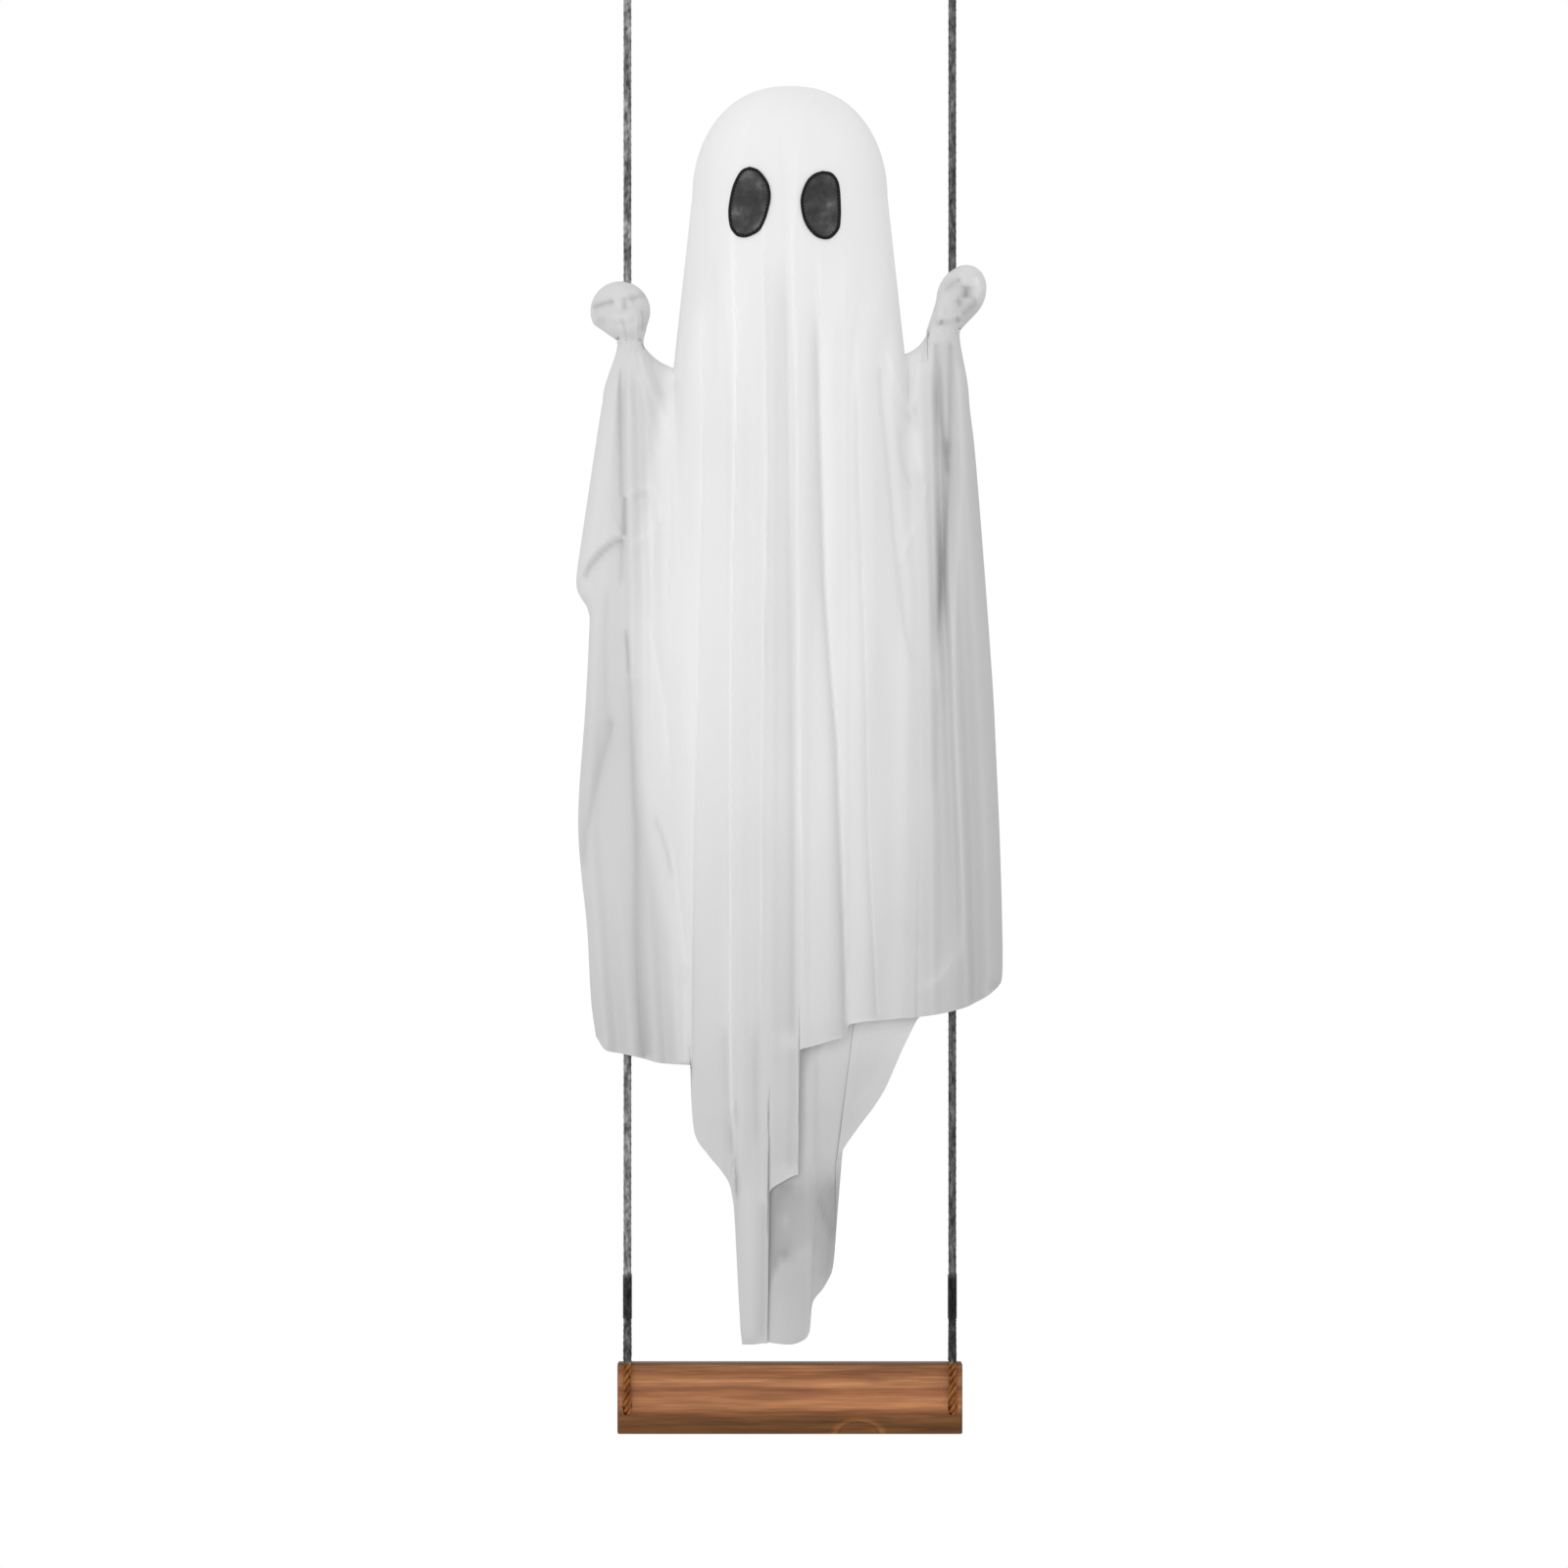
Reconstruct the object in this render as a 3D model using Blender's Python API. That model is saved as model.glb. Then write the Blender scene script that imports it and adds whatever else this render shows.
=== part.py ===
"""Hanging fabric ghost between the two ropes of a small swing.

Frame: metres, +Z up, the front faces -Y. The origin is midway between the tops of the two
hanging loops, so everything hangs below it. "Drop" means a distance down from that level.
"""
import bpy
import bmesh
import math
import numpy as np
from mathutils import Matrix, Vector

MM = 0.001
GAP = 0.3 * MM                      # clearance between touching pieces

# Ropes
ROPE_SPACING = 232.0 * MM           # centre to centre
ROPE_DIAMETER = 6.0 * MM
EYE_LENGTH = 56.0 * MM              # hanging loop, top of the rope to the knot
EYE_WIDTH = 30.0 * MM
KNOT_LENGTH = 20.0 * MM
KNOT_DIAMETER = 15.0 * MM

# Seat bar
SEAT_DROP = 1071.0 * MM             # top edge of the bar
SEAT_OVERHANG = 7.0 * MM            # bar beyond the centre of each rope
SEAT_HEIGHT = 50.5 * MM
SEAT_THICKNESS = 30.0 * MM
SEAT_EDGE = 1.2 * MM                # rounding of the bar's edges
SEAT_FLOOR = 7.0 * MM               # wood left under the rope's turn
ROPE_STRAIGHT = 8.0 * MM            # the rope is upright for this far over the bar
WHIPPING_LENGTH = 32.0 * MM         # twine that binds the rope's end to itself
WHIPPING_WALL = 1.0 * MM
WHIPPING_RISE = 31.0 * MM           # seat top to the underside of the twine

# Head and the cloth over it
CROWN_DROP = 159.6 * MM
HEAD_HALF_WIDTH = 69.7 * MM
DOME_HEIGHT = 78.4 * MM
DOME_SQUARENESS = 2.3
NECK_FLARE = 0.109                  # widening of the cloth per unit of drop under the dome
HEAD_DEPTH_RATIO = 0.80
CLOTH_THICKNESS = 1.2 * MM
CLOTH_SLACK = 0.8 * MM              # air between the cloth and what it lies on
LEFT_NOTCH_DROP = 361.0 * MM        # where the neck meets the arms
RIGHT_NOTCH_DROP = 351.0 * MM
SHOULDER_DROP = LEFT_NOTCH_DROP + 24.0 * MM
LEFT_HAND_RISE = 40.7 * MM          # middle of the hand over that notch
RIGHT_HAND_RISE = 43.0 * MM

# Hands: egg-shaped foam under gathered cloth, measured over the cloth
LEFT_HAND = dict(side=-1, out=5.1 * MM, drop=LEFT_NOTCH_DROP - LEFT_HAND_RISE,
                 across=21.35 * MM, along=21.35 * MM, deep=21.35 * MM, tilt=0.0,
                 wrist_in=1.9 * MM, wrist=9.4 * MM, wrist_below=24.1 * MM, gather=0.6)
RIGHT_HAND = dict(side=1, out=6.5 * MM, drop=RIGHT_NOTCH_DROP - RIGHT_HAND_RISE,
                  across=16.8 * MM, along=21.7 * MM, deep=16.8 * MM, tilt=27.0,
                  wrist_in=6.4 * MM, wrist=11.9 * MM, wrist_below=29.0 * MM, gather=0.25)
HAND_CLEARANCE = 4.6 * MM           # cloth outside to foam
HAND_RISE = 1.5 * MM                # the foam sits high in the hand, clear of the gathers
ROPE_HOLE = 5.0 * MM                # radius of the hole in the cloth
WING_EDGE = 13.0 * MM               # half thickness of the cloth over the arms
TIE_THICKNESS = 1.2 * MM
TIE_WIDTH = 3.0 * MM                # straight part of the wrist
TIE_HEIGHT = 2.0 * MM               # thread wound on it
TIE_SLACK = 1.4 * MM                # for the folds under the thread

# Inner frame
WIRE_DIAMETER = 3.0 * MM
WIRE_BEHIND = 5.6 * MM              # how far the wire runs behind the rope at the wrist
WIRE_IN_HAND = 8.0 * MM             # and inside the hand
WIRE_DROP = SHOULDER_DROP - 8.0 * MM    # the wire's level under the head
WIRE_FLAT = 70.0 * MM               # the wire is level this far out from the post
POST_DIAMETER = 12.0 * MM
POST_IN_HEAD = 50.0 * MM
FORM_BASE_DROP = 262.0 * MM         # flat underside of the foam head
FORM_SLACK = 2.2 * MM               # the cloth stands this much further off the form's sides
FORM_SQUARENESS = 1.85              # rounder than the cloth, so it meets it at the crown
PATCH_THICKNESS = 1.0 * MM          # felt eyes
PATCH_SEAT = 0.6 * MM

# Depth of the hanging cloth
BODY_DEPTH_RATIO = 0.46             # half depth over half width, well below the neck
NECK_BLEND = 200.0 * MM             # length over which the round neck flattens to that
SHOULDER_BLEND = 36.0 * MM          # length over which arms and body run together
WRIST_BLEND = 30.0 * MM             # length over which a wrist widens to the wing's edge
BACK_FLATTENING = 0.12              # the back hangs this much flatter than the front
BACK_FLAT_START = 300.0 * MM
BACK_BLEND = 80.0 * MM
HEM_THIN_START = 860.0 * MM         # the tail is thinner than the wings above it
HEM_THIN_LENGTH = 120.0 * MM
HEM_THINNING = 0.45

# Levels at which the fold lines are given
WAIST_DROP = 518.0 * MM
SKIRT_DROP = 693.0 * MM

rope_x = ROPE_SPACING / 2
rope_r = ROPE_DIAMETER / 2
seat_bottom = SEAT_DROP + SEAT_HEIGHT

# Cloth edges down the two sides: (drop, x) in mm
LEFT_EDGE = [(344, -123.2), (356, -127.4), (381, -133), (406, -137.2), (481, -148.4),
             (513, -152.6), (524, -149.8), (535, -143.5), (553, -143.5), (607, -146.3),
             (658, -150.2), (689, -151.2), (721, -149.1), (760, -144.9), (811, -142.1),
             (838, -138.6)]
RIGHT_EDGE = [(337, 121.5), (356, 125), (392, 128.8), (422, 132.3), (500, 138.6),
              (588, 144.9), (630, 147), (714, 150.5), (790, 151.9), (803, 148.5)]

# Fold lines of the front, from the left edge to the right. "along" runs over the top of the
# cloth: 0-1 left hand, 1-2 left valley, 2-3 head, 3-4 right valley, 4-5 right hand.
# (along, x at shoulder, waist, skirt, hem, hem drop, crest at shoulder, waist, hem) in mm
FRONT_FOLDS = [
    (0.00, -133.7, -151.2, -151.5, -138.6, 838, 0, 0, 0),
    (0.15, -130, -144, -145, -131, 848, 1, 3, 4),
    (0.33, -125, -135, -134, -122, 850, 2, 1, -3),
    (0.50, -120, -119.5, -123, -112, 852, -5, -5, 3),
    (0.66, -115, -112, -113, -104, 854, 3, 4, -2),
    (0.85, -108, -104, -104, -95, 856.5, 0, -2, 3),
    (1.00, -103, -98, -97, -88, 857.5, 2, 3, -2),
    (1.45, -93, -89, -87, -79, 858, -2, -1, 3),
    (2.00, -83.5, -80.5, -75, -71, 858.5, 0, 0, 0),
    (2.01, -82.8, -80, -74.2, -70.5, 880, 0, 0, 0),
    (2.05, -76.3, -74.2, -70.7, -68, 907, 2, 2, 2),
    (2.12, -65, -65, -63, -58.8, 922, 4, 4, 3),
    (2.20, -54.6, -54.6, -53.2, -49, 934, 0, 0, 1),
    (2.27, -46.2, -46.2, -46.2, -43, 944, -3, -3, -2),
    (2.32, -40.6, -40.6, -41, -40, 960, 3, 4, 2),
    (2.35, -36, -36, -37, -34, 1058, 2, 3, 2),
    (2.40, -26.6, -26.6, -27.3, -27, 1058, -3, -4, -2),
    (2.45, -18, -18, -18.5, -19, 1057, 4, 4, 3),
    (2.465, -15.5, -15.5, -16, -16, 1057, 3, 3, 2),
    (2.475, -14, -14, -14.5, -14.5, 949, 2, 2, 2),
    (2.51, -6.3, -6.3, -6.5, -6, 942, -4, -4, -3),
    (2.555, 0.5, 0.5, 0.7, 2, 937.5, -2, -1, -1),
    (2.59, 5, 5, 4.9, 6.0, 936, 5, 5, 3),
    (2.60, 8.4, 8, 7.3, 7.2, 847, 4, 4, 4),
    (2.66, 20.3, 19, 15.5, 16, 844.5, -3, -3, -2),
    (2.72, 29.4, 29.4, 27.3, 28, 841, 4, 4, 3),
    (2.78, 39.5, 39.9, 39, 39.6, 837, 0, 0, 1),
    (2.79, 42, 43, 43, 42.5, 829, -2, -2, -2),
    (2.85, 53.2, 56, 55, 55, 827, 2, 2, 2),
    (2.91, 65, 77, 72, 69.5, 826, -4, -4, -1),
    (2.96, 74, 86, 83, 80, 825, 3, 3, 3),
    (3.00, 82.5, 92, 93, 90, 824.5, 1, 0, -2),
    (3.50, 92, 98, 101, 101, 823, 2, 2, 2),
    (4.00, 100, 103.5, 109, 110, 821.5, -1, -1, -2),
    (4.20, 105.5, 109.5, 116, 118, 819.5, -5, -6, -1),
    (4.40, 111, 114, 122, 126, 817, 2, 3, 3),
    (4.60, 117, 122, 130, 133, 813.5, 0, -1, -2),
    (4.80, 122.5, 130.5, 139.5, 141, 809, 2, 3, 3),
    (5.00, 128, 140, 149, 148.5, 803, 0, 0, 0),
]
# The back hangs in fewer, wider folds, and its right side falls to the long tail.
BACK_FOLDS = [
    (0.00, -133.7, -151.2, -151.5, -138.6, 838, 0, 0, 0),
    (0.50, -119, -121, -122, -112, 850, 2, 4, 5),
    (1.00, -103, -99, -98, -88, 852, -1, -3, -3),
    (1.45, -92, -89, -87, -79, 853, 2, 3, 4),
    (2.00, -83.5, -81, -76, -69, 855, -1, -2, -2),
    (2.05, -77, -75, -70, -64, 900, 1, 2, 2),
    (2.12, -66, -64, -62, -55, 918, 3, 5, 4),
    (2.27, -46, -45, -43, -38, 945, -3, -4, -3),
    (2.35, -33, -30, -28, -30, 1052, 3, 6, 4),
    (2.45, -16, -14, -12, -17, 1056, -3, -4, -2),
    (2.555, 2, 6, 8, 0, 1058, 3, 6, 4),
    (2.62, 13, 18, 20, 9.8, 1055, 0, 0, 1),
    (2.66, 21, 26, 28, 14, 1049, -3, -4, -2),
    (2.69, 27, 32, 35, 16, 1029, -2, -2, 0),
    (2.72, 33, 38, 42, 24.5, 1017, 1, 1, 2),
    (2.75, 39, 45, 49, 30.5, 1004, 3, 5, 3),
    (2.785, 45, 52, 56, 32.3, 985, 1, 2, 2),
    (2.82, 51, 58, 63, 33, 930, -2, -2, -1),
    (2.85, 56, 64, 69, 38, 919, -3, -4, -2),
    (2.88, 61, 70, 74, 48.3, 904, 0, 0, 0),
    (2.91, 66, 75, 79, 61, 887, 3, 4, 2),
    (2.935, 70, 79, 83, 68, 875.5, 2, 2, 1),
    (2.96, 75, 84, 87, 80.5, 847, -1, -1, 0),
    (3.00, 82.5, 91, 93, 91, 826, -2, -3, -1),
    (3.50, 92, 98, 101, 101, 817, 2, 3, 4),
    (4.00, 100, 104, 110, 110, 815, -1, -2, -3),
    (4.50, 113, 118, 126, 128, 808, 2, 4, 4),
    (5.00, 128, 140, 149, 148.5, 803, 0, 0, 0),
]
FOLD_START_DROP = 275.0 * MM        # folds fade out on the head above this
# Sides of the body between the wings, and of the tail: (drop, x) in mm, under the neck
BODY_LEFT = [(518, -81), (693, -75), (858, -71), (893, -70), (945, -45), (1058, -36)]
BODY_RIGHT = [(518, 93), (693, 97), (826, 92), (925, 38), (1005, 32), (1058, 14)]
# Levels under the shoulder at which every column of the cloth has a point, in mm
CLOTH_LEVELS = [425, 470, 513, 526, 538, 580, 640, 710, 785]

# Felt eyes: outline points (x, drop) in mm, joined by a smooth closed curve
LEFT_EYE = [(-28.7, 218), (-18, 224.5), (-13.8, 238.5), (-20, 255), (-32, 267.5),
            (-41.5, 261), (-43.8, 247), (-38.5, 230)]
RIGHT_EYE = [(23.8, 221.5), (34, 230), (36.8, 246), (33.8, 262), (25.9, 269.5), (15.1, 263),
             (9.1, 254), (7.5, 241), (13, 226)]


def clear_scene():
    for item in list(bpy.data.objects):
        bpy.data.objects.remove(item, do_unlink=True)


def material(name, colour, roughness, metallic=0.0):
    made = bpy.data.materials.new(name)
    made.use_nodes = True
    shader = made.node_tree.nodes["Principled BSDF"]
    shader.inputs["Base Color"].default_value = (*colour, 1.0)
    shader.inputs["Roughness"].default_value = roughness
    shader.inputs["Metallic"].default_value = metallic
    return made


def place(name, mesh_or_curve, finish, smooth=True):
    thing = bpy.data.objects.new(name, mesh_or_curve)
    bpy.context.collection.objects.link(thing)
    mesh_or_curve.materials.append(finish)
    if smooth and isinstance(mesh_or_curve, bpy.types.Mesh):
        mesh_or_curve.shade_smooth()
        mesh_or_curve.set_sharp_from_angle(angle=math.radians(40))
    return thing


def mesh_from(name, points, faces):
    made = bpy.data.meshes.new(name)
    made.from_pydata([tuple(p) for p in points], [], faces)
    made.validate()
    solid = bmesh.new()
    solid.from_mesh(made)
    bmesh.ops.recalc_face_normals(solid, faces=solid.faces)
    solid.to_mesh(made)
    solid.free()
    return made


def cut(target, tool):
    """Boolean difference; the tool stays in the file as a wire guide."""
    tool.hide_render = True
    tool.display_type = 'WIRE'
    step = target.modifiers.new(tool.name, 'BOOLEAN')
    step.operation = 'DIFFERENCE'
    step.object = tool


def smooth_curve(points, spacing):
    """Points at an even spacing on a Catmull-Rom curve through the given ones."""
    pts = [Vector(p) for p in points]
    ends = [pts[0] * 2 - pts[1]] + pts + [pts[-1] * 2 - pts[-2]]
    fine = []
    for i in range(1, len(ends) - 2):
        a, b, c, d = ends[i - 1:i + 3]
        for k in range(24):
            t = k / 24
            fine.append(0.5 * (2 * b + (c - a) * t + (2 * a - 5 * b + 4 * c - d) * t * t
                               + (3 * b - a - 3 * c + d) * t ** 3))
    fine.append(pts[-1])
    steps = [0.0]
    for p, q in zip(fine, fine[1:]):
        steps.append(steps[-1] + (q - p).length)
    count = max(2, round(steps[-1] / spacing))
    wanted = np.linspace(0, steps[-1], count + 1)
    cols = [np.interp(wanted, steps, [p[k] for p in fine]) for k in range(3)]
    return [Vector(p) for p in zip(*cols)]


def tube(name, points, radius, finish, resolution=2):
    line = bpy.data.curves.new(name, 'CURVE')
    line.dimensions = '3D'
    line.bevel_depth = radius
    line.bevel_resolution = resolution
    line.use_fill_caps = True
    run = line.splines.new('POLY')
    run.points.add(len(points) - 1)
    for slot, p in zip(run.points, points):
        slot.co = (p[0], p[1], p[2], 1.0)
    return place(name, line, finish)


def bore_along(name, points, radius, finish, sides=12):
    """Closed round solid along a path, for cutting a curved hole."""
    verts, faces = [], []
    frame = Vector((0, 1, 0))
    for i, p in enumerate(points):
        ahead = points[min(i + 1, len(points) - 1)] - points[max(i - 1, 0)]
        ahead.normalize()
        frame = (frame - ahead * frame.dot(ahead))
        if frame.length < 0.1:
            frame = Vector((1, 0, 0)) - ahead * ahead.x
        frame.normalize()
        other = ahead.cross(frame)
        for k in range(sides):
            angle = 2 * math.pi * k / sides
            verts.append(p + (frame * math.cos(angle) + other * math.sin(angle)) * radius)
    for i in range(len(points) - 1):
        for k in range(sides):
            m = (k + 1) % sides
            faces.append((i * sides + k, i * sides + m, (i + 1) * sides + m, (i + 1) * sides + k))
    faces.append(tuple(range(sides)))
    faces.append(tuple((len(points) - 1) * sides + k for k in range(sides)))
    return place(name, mesh_from(name, verts, faces), finish)


def turned(name, profile, centre, finish, sides=20):
    """Solid or ring turned about Z: profile is a closed loop of (radius, z)."""
    points = []
    for i in range(sides):
        angle = 2 * math.pi * i / sides
        for radius, z in profile:
            points.append((centre[0] + radius * math.cos(angle),
                           centre[1] + radius * math.sin(angle), centre[2] + z))
    n = len(profile)
    faces = []
    for i in range(sides):
        j = (i + 1) % sides
        for k in range(n):
            m = (k + 1) % n
            faces.append((i * n + k, j * n + k, j * n + m, i * n + m))
    return place(name, mesh_from(name, points, faces), finish)


# Shape of the cloth

def ease(t):
    t = np.clip(t, 0, 1)
    return t * t * (3 - 2 * t)


def head_half_width(drop, squareness=DOME_SQUARENESS):
    below = max(drop - CROWN_DROP, 0.0)
    if below < DOME_HEIGHT:
        rise = 1 - below / DOME_HEIGHT
        return HEAD_HALF_WIDTH * (1 - rise * rise) ** (1 / squareness)
    return HEAD_HALF_WIDTH + NECK_FLARE * (below - DOME_HEIGHT)


def hand_centre(hand):
    return hand["side"] * (rope_x + hand["out"]), hand["drop"]


def wrist_centre(hand):
    return hand["side"] * (rope_x - hand["wrist_in"]), hand["drop"] + hand["wrist_below"]


def hand_arc(hand, start, end, count=25):
    """Outline of the hand, angles in degrees from its tip, growing outwards."""
    cx, cd = hand_centre(hand)
    tilt = math.radians(hand["tilt"])
    points = []
    for k in range(count):
        angle = math.radians(start + (end - start) * k / (count - 1))
        across = hand["across"] * math.sin(angle)
        along = hand["along"] * math.cos(angle)
        x = across * math.cos(tilt) + along * math.sin(tilt)
        drop = across * math.sin(tilt) - along * math.cos(tilt)
        points.append((cx + hand["side"] * x, cd + drop))
    return points


def hand_outline(hand, inner_start, outer_end):
    """From the outer side of the wrist over the hand to its inner side."""
    wx, wd = wrist_centre(hand)
    side, half = hand["side"], hand["wrist"]
    arc = hand_arc(hand, outer_end, inner_start)
    outer, inner = arc[0], arc[-1]
    top = wd - TIE_WIDTH
    wrist_outer = (wx + side * half, top)
    wrist_inner = (wx - side * half, top)
    outer_turn = (0.6 * wrist_outer[0] + 0.4 * outer[0], 0.6 * top + 0.4 * outer[1])
    inner_turn = (0.6 * wrist_inner[0] + 0.4 * inner[0], 0.6 * top + 0.4 * inner[1])
    return even_points([wrist_outer, outer_turn] + arc + [inner_turn, wrist_inner])


def head_outline():
    left = np.linspace(LEFT_NOTCH_DROP, CROWN_DROP + DOME_HEIGHT, 20)
    right = np.linspace(CROWN_DROP + DOME_HEIGHT, RIGHT_NOTCH_DROP, 20)
    dome = [CROWN_DROP + DOME_HEIGHT * (1 - math.cos(math.pi / 2 * k / 40)) for k in range(40)]
    points = [(-head_half_width(d), d) for d in left]
    points += [(-head_half_width(d), d) for d in reversed(dome)]
    points += [(head_half_width(d), d) for d in dome[1:]]
    points += [(head_half_width(d), d) for d in right]
    return even_points(points)


def even_points(points, count=200):
    xs = np.array([p[0] for p in points])
    ds = np.array([p[1] for p in points])
    run = np.concatenate([[0], np.cumsum(np.hypot(np.diff(xs), np.diff(ds)))])
    wanted = np.linspace(0, run[-1], count + 1)
    return np.stack([np.interp(wanted, run, xs), np.interp(wanted, run, ds)], axis=1)


def valley_outline(wrist_end, notch, sag):
    """Cloth edge between wrist and neck, sagging like a hammock."""
    (x0, d0), (x1, d1) = wrist_end, notch
    points = [(x0, d0)]
    d0 += TIE_WIDTH
    for k in range(13):
        t = k / 12
        points.append((x0 + (x1 - x0) * t, d0 + (d1 - d0) * t + sag * math.sin(math.pi * t ** 0.8)))
    return even_points(points)


def ridge():
    """The top edge of the cloth in five stretches, left hand to right hand."""
    left = hand_outline(LEFT_HAND, -112, 116)
    right = hand_outline(RIGHT_HAND, -125, 108)[::-1]
    head = head_outline()
    left_valley = valley_outline(left[-1], head[0], 3.0 * MM)
    right_valley = valley_outline(right[0], head[-1], 3.0 * MM)[::-1]
    return [left, left_valley, head, right_valley, right]


RIDGE = ridge()
EDGES = [np.array([(x * MM, d * MM) for d, x in LEFT_EDGE]),
         np.array([(x * MM, d * MM) for d, x in RIGHT_EDGE])]


def ridge_point(along):
    part = min(int(along), 4)
    points = RIDGE[part]
    where = (along - part) * (len(points) - 1)
    index = min(int(where), len(points) - 2)
    t = where - index
    return points[index] * (1 - t) + points[index + 1] * t


def fold_values(folds, along):
    table = np.array(folds, dtype=float)
    row = np.array([np.interp(along, table[:, 0], table[:, k]) for k in range(1, 6)]) * MM
    i = int(np.clip(np.searchsorted(table[:, 0], along) - 1, 0, len(table) - 2))
    t = (along - table[i, 0]) / (table[i + 1, 0] - table[i, 0])
    crest = (table[i, 6:9] + (table[i + 1, 6:9] - table[i, 6:9]) * ease(t)) * MM
    return row, crest


def edge_shift(x, drop, row_x_left, row_x_right):
    """Carry the scalloped side edges into the columns next to them."""
    shift = 0.0
    for edge, plain, sign in ((EDGES[0], row_x_left, 1), (EDGES[1], row_x_right, -1)):
        real = np.interp(drop, edge[:, 1], edge[:, 0])
        shift += (real - plain) * math.exp(-abs(x - plain) / (9 * MM))
    return shift


def path_x(values, drop):
    """x of a column under the shoulder, through its four given levels."""
    shoulder, waist, skirt, hem, hem_drop = values
    return float(np.interp(drop, [SHOULDER_DROP, WAIST_DROP, SKIRT_DROP, hem_drop],
                           [shoulder, waist, skirt, hem]))


OUTLINE_PARTS = [RIDGE[0][::4], RIDGE[1][::8], RIDGE[3][::8], RIDGE[4][::4], EDGES[0], EDGES[1]]


def outline_distance(x, drop):
    best = 1.0
    here = np.array([x, drop])
    for part in OUTLINE_PARTS:
        a, b = part[:-1], part[1:]
        run = b - a
        t = np.clip(((here - a) * run).sum(1) / np.maximum((run * run).sum(1), 1e-12), 0, 1)
        best = min(best, float(np.hypot(*(a + run * t[:, None] - here).T).min()))
    return best


def arm_depth(x, drop):
    """Half depth of hands, wrists and wings, rounded at the cloth's outline."""
    hand = LEFT_HAND if x < 0 else RIGHT_HAND
    wrist_drop = wrist_centre(hand)[1]
    bottom = hand["drop"] + 0.6 * hand["along"]
    at_wrist = hand["deep"] + (hand["wrist"] - hand["deep"]) * ease(
        (drop - bottom) / (wrist_drop - TIE_WIDTH - bottom))
    radius = at_wrist + (WING_EDGE - hand["wrist"]) * ease((drop - wrist_drop) / WRIST_BLEND)
    inside = min(outline_distance(x, drop), radius)
    return math.sqrt(inside * (2 * radius - inside))


def body_edges(drop):
    """Left and right side of the body under the head."""
    half = head_half_width(min(drop, LEFT_NOTCH_DROP))
    if drop <= LEFT_NOTCH_DROP:
        return -half, half
    sides = []
    for start, side in ((-half, BODY_LEFT), (half, BODY_RIGHT)):
        levels = [LEFT_NOTCH_DROP] + [d * MM for d, x in side]
        sides.append(float(np.interp(drop, levels, [start] + [x * MM for d, x in side])))
    return sides


def body_depth(x, drop):
    left, right = body_edges(drop)
    middle, half = (left + right) / 2, max((right - left) / 2, 1e-6)
    t = min(abs(x - middle) / half, 1.0)
    lower = ease((drop - LEFT_NOTCH_DROP) / NECK_BLEND)
    ratio = HEAD_DEPTH_RATIO + (BODY_DEPTH_RATIO - HEAD_DEPTH_RATIO) * lower
    roundness = 0.5 + 0.4 * lower
    return ratio * half * (1 - t * t) ** roundness


def half_depth(x, drop, along):
    """Half depth of the whole cloth; "along" tells head columns from arm columns."""
    body = body_depth(x, drop)
    arm = arm_depth(x, drop)
    if 2.0 < along < 3.0:
        arm *= ease((drop - RIGHT_NOTCH_DROP) / SHOULDER_BLEND)
    elif along < 1.0 or along > 4.0:
        body *= ease((drop - LEFT_NOTCH_DROP) / SHOULDER_BLEND)
    arm *= 1 - HEM_THINNING * ease((drop - HEM_THIN_START) / HEM_THIN_LENGTH)
    return (body ** 3 + arm ** 3) ** (1 / 3)


def crest_at(crest, drop, hem_drop, along):
    start = FOLD_START_DROP if 2.0 < along < 3.0 else wrist_centre(LEFT_HAND)[1]
    level = np.interp(drop, [SHOULDER_DROP, WAIST_DROP, hem_drop], crest)
    return level * ease((drop - start) / (SHOULDER_DROP - start))


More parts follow.
